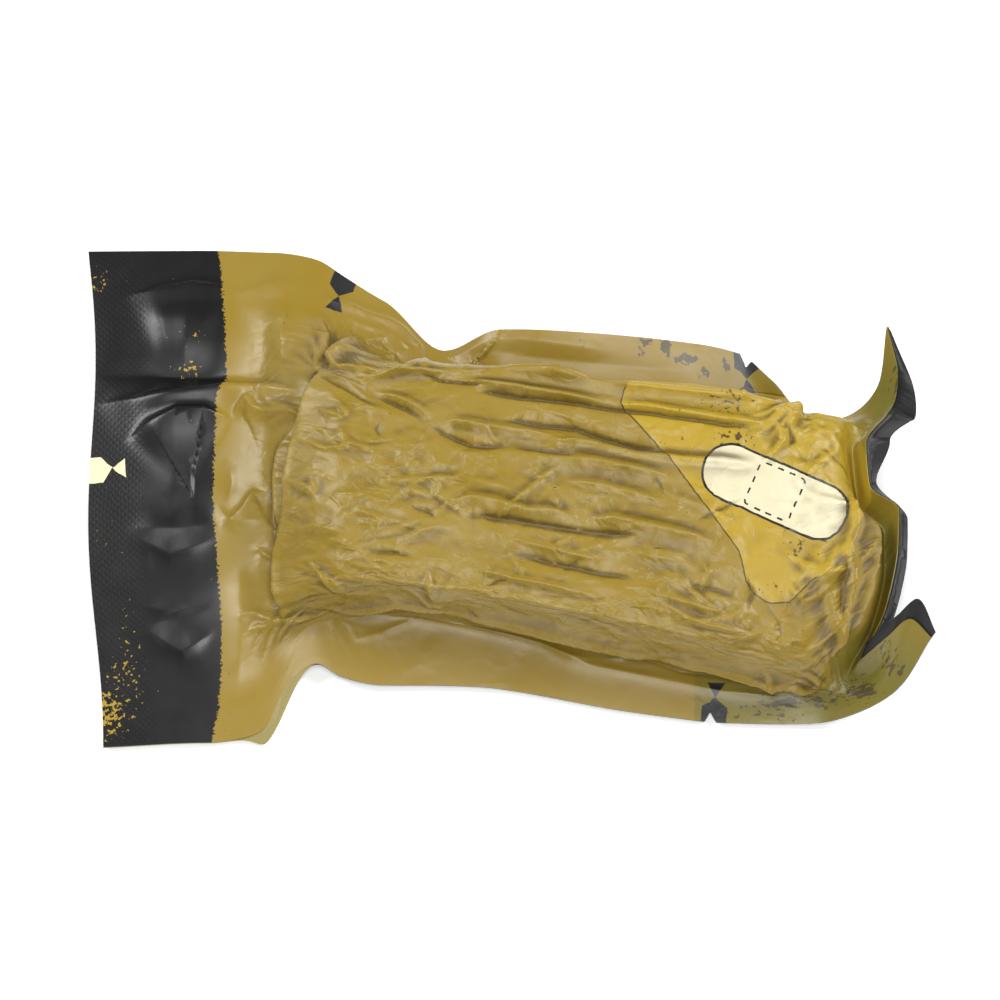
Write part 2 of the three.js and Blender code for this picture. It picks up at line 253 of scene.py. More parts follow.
@dataclass(frozen=True)
class Scatter:
    """How small creases are strewn. Pairs are the least and the most, or a mean and a spread."""

    along_mm: tuple[float, float] = (62.0, 232.0)
    across_mm: tuple[float, float] = (18.0, 140.0)
    crumpled: tuple[float, float] = (0.05, 0.9)
    turn: tuple[float, float] = (0.08, 0.45)
    bend: tuple[float, float] = (0.0, 0.4)
    wobble: tuple[float, float] = (0.0, 0.12)
    length_mm: tuple[float, float] = (9.0, 34.0)
    crosswise_share: float = 0.4
    height: tuple[float, float] = (0.3, 0.75)
    raised_share: float = 0.7
    sunk_height: float = -0.8
    left_mm: tuple[float, float] = (0.45, 0.7)
    right_mm: tuple[float, float] = (0.7, 1.6)
    legs: int = 4
    creases: int = 90


@dataclass(frozen=True)
class Gather:
    """How the creases of a fan are drawn. Pairs are the least and the most, or a mean and a spread."""

    start_px: float = 5.0
    bow: float = 0.08
    wobble: tuple[float, float] = (0.0, 0.06)
    reach: tuple[float, float] = (0.65, 1.0)
    height: tuple[float, float] = (0.6, 1.1)
    left_mm: tuple[float, float] = (0.9, 1.8)
    right_mm: tuple[float, float] = (1.0, 2.4)


@dataclass(frozen=True)
class TearMark:
    """A printed tear mark: a triangle whose tip meets a wider block at the film's edge."""

    tip: tuple[float, float]
    toward: tuple[float, float]
    ink: Ink
    reach: float = 4.4
    half_width: float = 2.7
    block_width: float = 3.7
    block_slope: float = 1.3
    block_reach: float = 12.0


@dataclass(frozen=True)
class Plaster:
    """A printed sticking plaster: its middle in pixels, its turn, and the rest of it in millimetres.

    The outlines say how far from the shape's edge a line starts and where it is full.
    """

    middle: tuple[float, float] = (772.0, 492.0)
    turn: float = math.radians(24.0)
    half_length: float = 22.0
    half_width: float = 8.2
    corner: float = 7.6
    edge: float = 0.1
    outline: tuple[float, float] = (0.42, 0.3)
    pad_half_length: float = 7.0
    pad_inset: float = 1.6
    pad_corner: float = 1.2
    pad_outline: tuple[float, float] = (0.32, 0.22)
    dash_scale: float = 0.55


@dataclass(frozen=True)
class Specks:
    """Ragged specks of ink: their size and detail, their patches' pull, and where ink starts and is full."""

    size_mm: float
    detail: float
    pull: float
    start: float
    full: float


@dataclass(frozen=True)
class FineCreases:
    """A net of fine creases: its size, its stretch, its turn, and the width of a crease as a share."""

    size_mm: float
    stretch: float
    turn: float
    line: float


def smooth_through(knots: np.ndarray, values: np.ndarray, places: np.ndarray) -> np.ndarray:
    """Reads curves that pass their points and never overshoot them.

    Args:
        knots: rising places of the points.
        values: the values at the knots, knots last.
        places: where the curves are read.

    Returns:
        The values at the places, places last.
    """
    span = np.diff(knots)
    rate = np.diff(values, axis=-1) / span
    product = rate[..., :-1] * rate[..., 1:]
    total = np.where(product > 0, rate[..., :-1] + rate[..., 1:], 1.0)
    inner = np.where(product > 0, 2 * product / total, 0.0)
    slope = np.concatenate([rate[..., :1], inner, rate[..., -1:]], axis=-1)
    at = np.clip(places, knots[0], knots[-1])
    lower = np.clip(np.searchsorted(knots, at) - 1, 0, len(knots) - 2)
    share = (at - knots[lower]) / span[lower]
    start = values[..., lower]
    rise = values[..., lower + 1] - start
    a = slope[..., lower] * span[lower]
    b = slope[..., lower + 1] * span[lower]
    return start + share * (a + share * (3 * rise - 2 * a - b + share * (a + b - 2 * rise)))


def ease(value: np.ndarray, low: float, high: float) -> np.ndarray:
    """Runs smoothly from 0 at low to 1 at high."""
    share = np.clip((value - low) / (high - low), 0.0, 1.0)
    return share * share * (3 - 2 * share)


def mix(start: np.ndarray, end: np.ndarray, share: np.ndarray) -> np.ndarray:
    """Goes from start to end by a share."""
    return start + (end - start) * share


def grid_normals(points: np.ndarray) -> np.ndarray:
    """Works out the unit normals of a grid of points, out of the pouch's upper face.

    Args:
        points: the grid, rows along the pouch and columns from the rear to the front.

    Returns:
        One unit vector for each point.
    """
    lengthwise = np.gradient(points, axis=0)
    crosswise = np.gradient(points, axis=1)
    normal = np.cross(crosswise, lengthwise)
    return normal / np.maximum(np.linalg.norm(normal, axis=-1, keepdims=True), 1e-9)


def catmull_rom(stops: np.ndarray, shares: np.ndarray) -> np.ndarray:
    """Runs centripetal curves through stops, from the second stop to the last.

    Args:
        stops: the stops, shape (stops, curves, 3).
        shares: places from 0 at the second stop to 1 at the last.

    Returns:
        The points, shape (shares, curves, 3).
    """
    last = len(stops) - 1
    before = 2 * stops[0] - stops[1]
    after = 2 * stops[last] - stops[last - 1]
    padded = np.concatenate([before[None], stops, after[None]])
    place = (1 + (last - 1) * shares)
    piece = np.minimum(place.astype(int), last - 1)
    weight = (place - piece)[:, None, None]
    p0, p1, p2, p3 = (padded[piece + k] for k in range(4))

    def knot(start: np.ndarray, end: np.ndarray) -> np.ndarray:
        """The centripetal spacing of two stops."""
        return np.maximum(np.sum((end - start) ** 2, axis=-1, keepdims=True) ** 0.25, 1e-4)

    d0, d1, d2 = knot(p0, p1), knot(p1, p2), knot(p2, p3)
    t1 = ((p1 - p0) / d0 - (p2 - p0) / (d0 + d1) + (p2 - p1) / d1) * d1
    t2 = ((p2 - p1) / d1 - (p3 - p1) / (d1 + d2) + (p3 - p2) / d2) * d1
    c2 = 3 * (p2 - p1) - 2 * t1 - t2
    c3 = 2 * (p1 - p2) + t1 + t2
    return p1 + weight * (t1 + weight * (c2 + weight * c3))


@dataclass
class FilmChart:
    """The smooth film as a fine grid, with its flat coordinates in millimetres and its place in the photo."""

    rows: int = 620
    columns: int = 390
    curl_rows: int = 84
    flat_width: float = 160.0
    curl_length: float = 40.0
    easing_passes: int = 160
    easing_reach: float = 9.0
    least_facing: float = 0.05
    near_px: float = 3.0
    most_steps: float = 1.5
    patch_fall: float = 1.2
    photo: PhotoFrame = PhotoFrame()

    def __post_init__(self) -> None:
        """Works out the grid."""
        body_mm = FLAT_LENGTH + (BODY_END - 1) * BLOCK_LENGTH
        self.place = np.linspace(0.0, 1.0, self.columns + 1)
        body_steps = self.rows - self.curl_rows
        self.body_s = np.linspace(0.0, body_mm, body_steps + 1)
        self.curl_share = np.linspace(0.0, 1.0, self.curl_rows + 1)[1:]
        self.s = np.concatenate([self.body_s, body_mm + self.curl_share * self.curl_length])
        self.t = self.place * self.flat_width
        points = np.concatenate([self.body(self.along(self.body_s)), self.curl(self.curl_share)])
        self.points = self.eased(points)
        self.normals = grid_normals(self.points)
        self.parting = self.part()
        self.grid_s, self.grid_t = np.meshgrid(self.s, self.t, indexing="ij")
        self.column, self.row = self.photo.project(self.points)

    def eased(self, points: np.ndarray) -> np.ndarray:
        """Rounds off the kink where the flat end meets the dressing.

        Args:
            points: the sheet's grid.

        Returns:
            The grid without the kink.
        """
        even = points.copy()
        for _ in range(self.easing_passes):
            even[1:-1] = (even[:-2] + 2 * even[1:-1] + even[2:]) / 4
        near = np.exp(-((self.s - FLAT_LENGTH) / self.easing_reach) ** 2)
        return mix(points, even, near[:, None, None])

    def along(self, s: np.ndarray) -> np.ndarray:
        """Turns millimetres along the film into the tables' places."""
        return np.where(s < FLAT_LENGTH, s / FLAT_LENGTH, 1 + (s - FLAT_LENGTH) / BLOCK_LENGTH)

    def body(self, along: np.ndarray) -> np.ndarray:
        """Makes the cross-sections over the flat end and the dressing.

        Args:
            along: places from 0 to 1 over the flat end and from 1 to 2 over the dressing.

        Returns:
            Points, one row for each place.
        """
        rear_flange, rear_foot, rear_top, front_top, front_foot, front_flange = smooth_through(
            PLAN[:, 0], PLAN[:, 1:].T, along
        )
        up = smooth_through(HEIGHTS[:, 0], HEIGHTS[:, 1:].T, along).T * BLOCK_HEIGHT
        side = np.stack([
            rear_foot * BLOCK_WIDTH + rear_flange * SIDE_FLANGE,
            rear_foot * BLOCK_WIDTH,
            rear_top * BLOCK_WIDTH,
            (rear_top + front_top) / 2 * BLOCK_WIDTH,
            front_top * BLOCK_WIDTH,
            front_foot * BLOCK_WIDTH,
            front_foot * BLOCK_WIDTH - front_flange * SIDE_FLANGE,
        ], axis=-1)
        knots = np.array([0.0, REAR_FOOT, REAR_TOP, CROWN, FRONT_TOP, FRONT_FOOT, 1.0])
        y = smooth_through(knots, side, self.place)
        z = smooth_through(knots, up, self.place)
        flat_share = np.maximum(0.0, 1 - along)[:, None]
        wave = np.sin(2 * np.pi * EDGE_WAVES * self.place)[None]
        slant = flat_share * (EDGE_SLANT * self.place[None] + EDGE_WAVE * wave)
        base = np.where(
            along < 1, LEFT_X + along * FLAT_LENGTH, BLOCK_START_X + (along - 1) * BLOCK_LENGTH
        )
        return np.stack([base[:, None] + slant, y, z], axis=-1)

    def curl(self, shares: np.ndarray) -> np.ndarray:
        """Makes the film past the dressing's end.

        Args:
            shares: places from 0 at the last cross-section to 1 at the cut edge.

        Returns:
            Points, one row for each place.
        """
        rows = smooth_through(CURL[:, 0], CURL[:, 1:].T, self.place).reshape(3, 3, -1)
        scale = np.array([END_FLANGE, BLOCK_WIDTH, BLOCK_HEIGHT])
        stops = rows.transpose(0, 2, 1) * scale + np.array([BLOCK_END_X, 0.0, 0.0])
        lead = self.body(np.array([BODY_END - CURL_LEAD, BODY_END]))
        return catmull_rom(np.concatenate([lead, stops]), shares)

    def part(self) -> np.ndarray:
        """Says how far the two films stand apart, from 0 in the seals to 1 over the dressing.

        Returns:
            One share for each point of the grid.
        """
        place = self.place[None]
        margins = ease(place, REAR_FOOT, REAR_FOOT + PARTING_SHARE) * (
            1 - ease(place, FRONT_FOOT - PARTING_SHARE, FRONT_FOOT)
        )
        crest = ease(place, REAR_TOP, REAR_TOP + PARTING_SHARE) * (
            1 - ease(place, FRONT_TOP, FRONT_TOP + PARTING_SHARE)
        )
        opening = ease(self.body_s, OPENING_START * SEAL_WIDTH, OPENING_END * SEAL_WIDTH)[:, None]
        share = self.curl_share[:, None]
        inner = mix(margins, crest, ease(share, NARROW_SHARE, CREST_SHARE))
        curl = inner * (1 - ease(share, CREST_SHARE, CLOSED_SHARE))
        return np.concatenate([margins * opening, curl])

    def locate(self, pixels: tuple[tuple[float, float], ...]) -> np.ndarray:
        """Finds the places on the film that pixels of the photograph show.

        Args:
            pixels: columns and rows of the photograph.

        Returns:
            Flat film coordinates in millimetres, one pair for each pixel.
        """
        column, row = self.column, self.row
        faces = (self.normals @ self.photo.view_axis()) > self.least_facing
        near = self.points @ self.photo.view_axis()
        found = []
        for wanted_column, wanted_row in pixels:
            away = np.hypot(column - wanted_column, row - wanted_row)
            close = faces & (away < np.min(away[faces]) + self.near_px)
            i, j = np.unravel_index(np.argmax(np.where(close, near - away, -1e9)), away.shape)
            i0, i1 = max(i - 1, 0), min(i + 1, self.rows)
            j0, j1 = max(j - 1, 0), min(j + 1, self.columns)
            step_i = np.array([column[i1, j] - column[i0, j], row[i1, j] - row[i0, j]]) / (i1 - i0)
            step_j = np.array([column[i, j1] - column[i, j0], row[i, j1] - row[i, j0]]) / (j1 - j0)
            rest = np.array([wanted_column - column[i, j], wanted_row - row[i, j]])
            matrix = np.stack([step_i, step_j], axis=1)
            move = np.clip(np.linalg.pinv(matrix) @ rest, -self.most_steps, self.most_steps)
            s_step = (self.s[i1] - self.s[i0]) / (i1 - i0)
            found.append((self.s[i] + move[0] * s_step, self.t[j] + move[1] * (self.t[1] - self.t[0])))
        return np.array(found)

    def window(self, line: np.ndarray, margin: float) -> tuple[slice, slice]:
        """Finds the part of the grid about a line.

        Args:
            line: corners of the line in flat film coordinates.
            margin: how far about it, in millimetres.

        Returns:
            The rows and the columns.
        """
        low, high = line.min(axis=0) - margin, line.max(axis=0) + margin
        rows = np.searchsorted(self.s, (low[0], high[0]))
        columns = np.searchsorted(self.t, (low[1], high[1]))
        return slice(rows[0], rows[1]), slice(columns[0], columns[1])

    def line_offsets(self, line: np.ndarray, part: tuple[slice, slice]) -> tuple[np.ndarray, np.ndarray]:
        """Measures points of the film from a line on it.

        Args:
            line: corners of the line in flat film coordinates.
            part: the rows and columns of the grid to measure.

        Returns:
            The distance, positive to the right of the line's travel, and the share of the line's length.
        """
        grid_s, grid_t = self.grid_s[part], self.grid_t[part]
        best = np.full(grid_s.shape, 1e9)
        signed = np.zeros_like(best)
        share = np.zeros_like(best)
        lengths = np.linalg.norm(np.diff(line, axis=0), axis=1)
        total = max(lengths.sum(), 1e-6)
        done = 0.0
        for (s0, t0), (s1, t1), length in zip(line[:-1], line[1:], lengths):
            ds, dt = s1 - s0, t1 - t0
            if length < 1e-6:
                continue
            u = np.clip(((grid_s - s0) * ds + (grid_t - t0) * dt) / length**2, 0, 1)
            off_s = grid_s - (s0 + u * ds)
            off_t = grid_t - (t0 + u * dt)
            away = np.hypot(off_s, off_t)
            nearer = away < best
            side = np.where(ds * off_t - dt * off_s >= 0, 1.0, -1.0)
            best = np.where(nearer, away, best)
            signed = np.where(nearer, side * away, signed)
            share = np.where(nearer, (done + u * length) / total, share)
            done += length
        return signed, share

    def outline_depth(self, outline: tuple[tuple[float, float], ...]) -> np.ndarray:
        """Measures how deep the film's points lie inside an outline drawn over the photograph.

        Args:
            outline: corners in pixels.

        Returns:
            Millimetres, negative outside.
        """
        best = np.full(self.column.shape, 1e9)
        inside = np.zeros(self.column.shape, dtype=bool)
        for (x0, y0), (x1, y1) in zip(outline, outline[1:] + outline[:1]):
            dx, dy = x1 - x0, y1 - y0
            u = np.clip(((self.column - x0) * dx + (self.row - y0) * dy) / (dx * dx + dy * dy), 0, 1)
            best = np.minimum(best, np.hypot(self.column - x0 - u * dx, self.row - y0 - u * dy))
            if dy:
                crosses = (y0 > self.row) != (y1 > self.row)
                inside ^= crosses & (self.column < x0 + dx * (self.row - y0) / dy)
        return np.where(inside, best, -best) / self.photo.pixels_per_mm

    def patches(self, patches: tuple[Patch, ...]) -> np.ndarray:
        """Adds up soft patches.

        Args:
            patches: the patches, in pixels.

        Returns:
            The greatest weight at each point of the film.
        """
        total = np.zeros(self.grid_s.shape)
        for patch in patches:
            across = (self.column - patch.column) / patch.wide
            down = (self.row - patch.row) / patch.tall
            away = across**2 + down**2
            total = np.maximum(total, patch.weight * np.exp(-away * self.patch_fall))
        return total


# Creases read off the photo: height, width to the left, width to the right, and the pixels they run through.
FOLDS = (
    # The flat end: the long pleat, and the tents and dents of the film about it.
    Fold(-1.2, 9.0, 3.0, ((92, 376), (150, 374), (215, 377), (290, 384))),
    Fold(1.7, 2.2, 8.0, ((87, 406), (130, 401), (180, 394), (225, 386), (262, 387), (301, 391))),
    Fold(1.6, 1.4, 15.0, ((120, 296), (150, 291), (190, 283), (240, 289))),
    Fold(0.6, 8.0, 7.0, ((190, 270), (187, 310), (182, 370))),
    Fold(0.9, 1.6, 12.0, ((222, 298), (255, 287), (287, 280), (318, 302))),
    Fold(0.4, 7.0, 6.0, ((287, 268), (285, 305), (281, 360))),
    Fold(1.7, 1.6, 18.0, ((122, 446), (150, 426), (178, 414), (205, 412), (235, 420))),
    Fold(0.5, 9.0, 9.0, ((178, 400), (176, 448), (171, 520))),
    Fold(1.1, 1.2, 5.0, ((232, 425), (237, 410), (248, 400), (256, 409), (275, 413), (297, 415))),
    Fold(0.5, 6.0, 3.0, ((120, 530), (150, 528), (175, 528), (225, 522))),
    Fold(-0.6, 5.0, 3.5, ((135, 536), (158, 547), (171, 553), (188, 548), (222, 536))),
    Fold(-0.4, 5.0, 4.0, ((135, 604), (172, 611), (220, 612))),
    Fold(0.4, 2.0, 4.0, ((150, 626), (181, 610), (215, 602))),
    Fold(-0.6, 6.0, 3.0, ((140, 624), (168, 642), (184, 650), (220, 628))),
    Fold(1.2, 1.4, 5.5, ((217, 529), (232, 521), (245, 508), (254, 493), (274, 494))),
    Fold(-0.9, 3.0, 3.0, ((226, 455), (232, 480), (228, 505))),
    Fold(0.8, 2.0, 4.0, ((216, 500), (226, 517), (238, 522), (256, 520), (272, 516))),
    Fold(0.6, 6.0, 6.0, ((240, 560), (243, 620), (240, 700))),
    # The rim of the dressing's left end, with its pleated strip.
    Fold(1.4, 2.2, 0.9, ((291, 425), (283, 445), (279, 468), (277, 492), (277, 515), (280, 540))),
    Fold(1.0, 0.9, 1.6, ((303, 425), (297, 446), (294, 470), (293, 490), (290, 510))),
    Fold(-1.2, 1.2, 1.2, ((274, 470), (270, 495), (270, 520), (274, 545), (272, 575), (272, 610))),
    Fold(0.8, 1.6, 0.9, ((285, 534), (280, 560), (278, 580), (281, 600), (284, 614))),
    Fold(1.0, 1.0, 1.0, ((262, 515), (272, 530), (283, 546), (290, 562))),
    Fold(0.8, 0.9, 0.9, ((256, 545), (268, 556), (281, 566))),
    Fold(1.3, 1.0, 1.6, ((283, 618), (300, 618), (316, 615), (337, 609))),
    Fold(1.0, 1.0, 1.4, ((276, 652), (283, 632), (292, 620), (308, 606))),
    # The gathers above the dressing's left corner.
    Fold(2.4, 1.6, 3.0, ((316, 285), (328, 300), (345, 305), (375, 317), (405, 331), (419, 347), (426, 367))),
    Fold(2.2, 1.4, 1.4, ((330, 366), (343, 350), (362, 341), (396, 337))),
    Fold(1.8, 1.2, 1.2, ((330, 368), (352, 355), (378, 357), (406, 350))),
    Fold(-2.4, 1.8, 1.8, ((337, 318), (333, 342), (326, 358), (320, 370))),
    Fold(2.0, 1.2, 1.4, ((338, 313), (360, 325), (386, 333), (404, 346))),
    Fold(1.8, 1.6, 1.2, ((318, 312), (327, 335), (324, 355), (316, 370))),
    Fold(-2.0, 1.4, 1.4, ((348, 330), (372, 344), (396, 354), (414, 366))),
    Fold(1.8, 1.0, 1.2, ((366, 318), (380, 340), (392, 352), (400, 368))),
    Fold(1.6, 1.2, 1.6, ((388, 326), (410, 350), (419, 370))),
    Fold(1.6, 1.2, 1.4, ((328, 306), (345, 322), (350, 340), (338, 362))),
    # The rear rim of the dressing and the long folds beside it.
    Fold(1.3, 1.0, 1.6, ((325, 371), (345, 369), (370, 372), (398, 375), (430, 374), (459, 373))),
    Fold(1.4, 1.0, 2.4, ((459, 373), (466, 366), (475, 363), (515, 369), (560, 377), (600, 382))),
    Fold(1.3, 1.2, 2.6, ((600, 382), (640, 388), (690, 394), (740, 399), (785, 402), (797, 410))),
    Fold(1.5, 1.6, 2.2, ((455, 379), (490, 385), (530, 391), (570, 397), (612, 403))),
    Fold(1.3, 1.6, 2.6, ((612, 403), (650, 409), (690, 415), (730, 421), (768, 426))),
    Fold(-1.3, 1.8, 1.5, ((470, 392), (520, 398), (580, 404), (640, 413), (700, 421), (757, 429))),
    Fold(-1.0, 1.2, 1.2, ((417, 375), (440, 381), (470, 383), (500, 389))),
    Fold(1.1, 1.2, 1.6, ((371, 391), (390, 397), (405, 402), (423, 411), (432, 419), (434, 425))),
    Fold(-1.1, 1.0, 1.0, ((375, 397), (395, 406), (414, 415), (426, 424))),
    Fold(1.2, 1.0, 2.4, ((440, 428), (447, 423), (456, 421), (485, 427), (514, 431), (560, 436))),
    Fold(-1.6, 2.4, 1.2, ((500, 421), (540, 425), (575, 428), (612, 440), (640, 449), (670, 453))),
    Fold(1.4, 1.0, 2.6, ((545, 437), (590, 443), (635, 454), (680, 460), (720, 462), (758, 465))),
    Fold(-1.2, 1.6, 1.6, ((428, 425), (444, 434), (470, 445), (509, 450), (560, 455), (590, 462))),
    Fold(1.2, 1.2, 2.4, ((480, 447), (540, 455), (596, 462), (644, 473), (676, 479))),
    # The crumpled middle of the dressing.
    Fold(1.3, 1.2, 3.0, ((451, 501), (472, 497), (497, 502), (528, 511), (547, 511), (583, 520))),
    Fold(1.3, 1.2, 2.8, ((583, 520), (610, 519), (640, 524), (679, 533), (713, 542))),
    Fold(-1.0, 1.2, 1.6, ((460, 515), (500, 518), (540, 525), (590, 532), (640, 537))),
    Fold(1.1, 1.4, 1.4, ((394, 547), (408, 538), (423, 530), (440, 526), (455, 527))),
    Fold(0.9, 1.0, 1.0, ((432, 500), (438, 486), (430, 474))),
    Fold(0.9, 1.0, 1.4, ((398, 500), (409, 489), (424, 492), (431, 501))),
    Fold(-0.8, 1.0, 1.0, ((405, 503), (416, 508), (430, 512), (441, 522))),
    Fold(1.0, 0.9, 1.4, ((294, 481), (303, 484), (315, 489), (322, 499), (328, 495))),
    Fold(0.9, 0.9, 0.9, ((315, 476), (321, 487), (322, 500))),
    Fold(1.1, 0.9, 1.2, ((323, 412), (333, 416), (344, 419), (349, 422))),
    Fold(0.9, 1.0, 1.0, ((341, 404), (346, 413), (348, 422))),
    Fold(0.8, 1.0, 1.6, ((352, 412), (368, 408), (386, 411), (404, 418))),
    Fold(0.8, 1.2, 1.6, ((330, 452), (352, 445), (372, 450), (388, 462))),
    Fold(1.0, 1.0, 1.2, ((310, 556), (318, 566), (326, 574), (335, 584), (349, 594))),
    Fold(0.9, 0.9, 0.9, ((326, 574), (336, 578), (346, 589), (353, 593))),
    Fold(1.0, 1.0, 1.0, ((424, 562), (429, 574), (433, 586), (437, 602))),
    Fold(-0.8, 1.2, 1.2, ((356, 543), (374, 551), (398, 553), (424, 560))),
    Fold(0.8, 1.0, 1.4, ((338, 517), (362, 512), (384, 519), (410, 521))),
    Fold(0.7, 1.0, 1.2, ((303, 531), (325, 527), (350, 534))),
    Fold(0.9, 1.2, 1.6, ((560, 480), (600, 486), (640, 497), (670, 503))),
    Fold(0.8, 1.0, 1.4, ((500, 536), (536, 545), (580, 556), (610, 560))),
    Fold(-0.7, 1.0, 1.2, ((508, 551), (552, 563), (600, 573), (640, 578))),
    Fold(0.8, 1.0, 1.4, ((470, 567), (510, 577), (560, 587), (600, 596))),
    Fold(0.8, 1.0, 1.2, ((620, 548), (650, 556), (676, 560), (702, 571))),
    Fold(0.9, 1.0, 1.0, ((699, 560), (707, 572), (702, 582), (693, 592))),
    Fold(-0.8, 1.0, 1.2, ((668, 577), (685, 586), (712, 589), (742, 598))),
    Fold(0.9, 1.0, 1.4, ((640, 590), (668, 596), (700, 606), (735, 617))),
    Fold(0.9, 1.0, 1.4, ((676, 612), (690, 621), (722, 627), (760, 634))),
    Fold(-0.8, 1.0, 1.0, ((742, 570), (750, 592), (742, 612))),
    # The front seam of the dressing, with its overlapping folds.
    Fold(1.6, 2.4, 0.8, ((337, 609), (352, 607), (373, 602), (398, 597), (417, 600), (451, 608))),
    Fold(1.6, 2.6, 0.8, ((451, 608), (500, 617), (560, 627), (616, 642), (662, 653))),
    Fold(1.6, 2.6, 0.8, ((662, 653), (705, 663), (745, 670), (790, 680), (828, 692))),
    Fold(-1.5, 0.9, 1.6, ((360, 610), (398, 604), (430, 609), (480, 620), (560, 634), (612, 648))),
    Fold(1.1, 1.0, 2.2, ((380, 617), (420, 613), (470, 625), (540, 642), (570, 655), (600, 658))),
    Fold(1.0, 1.0, 1.6, ((600, 658), (620, 657), (628, 648))),
    Fold(0.9, 1.2, 1.2, ((346, 622), (358, 638), (382, 633), (408, 622), (420, 615))),
    Fold(1.0, 1.4, 2.6, ((540, 643), (590, 664), (650, 676), (720, 690), (780, 695))),
    Fold(-1.0, 1.4, 1.4, ((620, 652), (680, 671), (740, 681), (800, 690))),
    # The right end: pinches, the star and the strip that folds down.
    Fold(1.4, 1.0, 1.2, ((766, 424), (771, 418), (780, 411), (795, 413), (808, 419))),
    Fold(1.2, 1.0, 1.0, ((770, 420), (779, 432), (780, 443), (770, 455), (760, 464))),
    Fold(-1.2, 1.0, 1.0, ((774, 428), (786, 430), (790, 441), (784, 452))),
    Fold(1.0, 1.2, 1.2, ((797, 410), (812, 417), (828, 414), (845, 424))),
    Fold(1.1, 1.2, 1.0, ((778, 549), (796, 560), (820, 574))),
    Fold(1.1, 1.0, 1.2, ((820, 574), (834, 571), (848, 567))),
    Fold(1.2, 1.2, 1.0, ((820, 574), (829, 600), (834, 622), (832, 645), (826, 662))),
    Fold(0.9, 1.0, 1.0, ((820, 574), (811, 586), (799, 595), (786, 600))),
    Fold(-1.0, 1.2, 1.2, ((842, 545), (843, 573), (838, 600), (838, 630))),
    Fold(1.2, 1.4, 1.4, ((848, 470), (850, 510), (846, 545), (850, 580), (842, 615), (830, 660))),
    Fold(1.0, 1.2, 1.2, ((874, 535), (862, 556), (846, 580))),
    Fold(0.9, 1.0, 1.0, ((858, 500), (870, 520), (874, 545), (868, 580))),
    Fold(1.3, 1.0, 1.0, ((761, 662), (770, 676), (784, 684), (806, 690))),
    Fold(1.2, 1.0, 1.2, ((800, 668), (818, 680), (832, 690), (848, 692))),
    Fold(-1.2, 1.0, 1.0, ((790, 674), (808, 684), (826, 690), (840, 699))),
    Fold(1.0, 0.8, 0.8, ((828, 650), (836, 668), (846, 684), (858, 690))),
    # The side margins.
    Fold(1.2, 3.0, 5.0, ((440, 358), (480, 345), (520, 338), (560, 343), (620, 352))),
    Fold(-0.8, 4.0, 4.0, ((480, 352), (540, 358), (620, 366), (700, 372))),
    Fold(0.8, 5.0, 5.0, ((420, 640), (430, 660), (432, 676))),
    Fold(-0.7, 6.0, 6.0, ((500, 660), (520, 676), (530, 686))),
)

# Where the film is crumpled over the dressing, in pixels.
CRUMPLED = (
    Patch(370, 345, 55, 40, 1.7),
    Patch(400, 470, 120, 80, 1.0),
    Patch(350, 560, 90, 60, 1.0),
    Patch(540, 510, 170, 50, 0.9),
    Patch(700, 590, 110, 60, 1.1),
    Patch(790, 640, 60, 50, 1.1),
    Patch(830, 560, 40, 90, 0.8),
    Patch(800, 440, 50, 40, 1.2),
    Patch(560, 640, 260, 26, 1.0),
    Patch(285, 540, 26, 120, 1.1),
    Patch(560, 590, 160, 40, 0.7),
    Patch(870, 560, 30, 80, 0.9),
)
# Loose flecks of the gold ground in the black band.
FLECKED = (
    Patch(97, 281, 11, 16, 0.8),
    Patch(122, 275, 6, 8, 0.45),
    Patch(197, 336, 8, 8, 0.62),
    Patch(180, 338, 14, 10, 0.4),
    Patch(186, 368, 18, 11, 0.7),
    Patch(95, 422, 6, 5, 0.7),
    Patch(99, 496, 8, 12, 0.75),
    Patch(103, 529, 8, 14, 0.7),
    Patch(110, 570, 7, 8, 0.65),
    Patch(130, 622, 8, 22, 0.6),
    Patch(128, 672, 24, 20, 0.62),
    Patch(112, 712, 22, 32, 0.85),
    Patch(142, 698, 10, 10, 0.6),
)
# Small dark cracks printed on the amber ground.
CRACKED = (
    Patch(728, 405, 26, 14, 0.9),
    Patch(735, 436, 28, 16, 0.95),
    Patch(679, 436, 8, 6, 0.7),
    Patch(658, 443, 6, 5, 0.6),
    Patch(722, 445, 14, 9, 0.9),
    Patch(724, 472, 10, 8, 0.9),
    Patch(697, 400, 10, 8, 0.55),
    Patch(795, 548, 14, 18, 0.85),
    Patch(824, 542, 12, 14, 0.8),
    Patch(770, 590, 22, 12, 0.55),
    Patch(630, 402, 5, 4, 0.8),
    Patch(760, 705, 24, 12, 0.9),
    Patch(800, 694, 26, 14, 0.9),
    Patch(850, 690, 30, 16, 0.9),
    Patch(884, 652, 14, 24, 0.9),
    Patch(790, 716, 34, 8, 0.7),
)
# Grey-brown splashes printed on the margins.
SPLASHED = (
    Patch(655, 345, 20, 12, 1.0),
    Patch(627, 342, 9, 6, 0.8),
    Patch(688, 359, 16, 10, 1.0),
    Patch(706, 370, 12, 8, 0.8),
    Patch(590, 340, 14, 7, 0.6),
    Patch(725, 365, 14, 10, 0.9),
    Patch(560, 338, 14, 5, 0.4),
    Patch(745, 715, 22, 10, 0.8),
    Patch(780, 702, 24, 12, 0.9),
    Patch(820, 700, 20, 12, 0.8),
    Patch(860, 690, 22, 14, 0.8),
    Patch(890, 660, 18, 20, 0.7),
    Patch(895, 385, 14, 24, 0.7),
)
# Where the margins are printed olive.
OLIVE = (
    Patch(775, 366, 60, 40, 0.6),
    Patch(790, 712, 200, 60, 0.85),
    Patch(880, 680, 90, 70, 0.9),
    Patch(890, 400, 50, 70, 1.0),
    Patch(885, 560, 26, 70, 0.8),
)
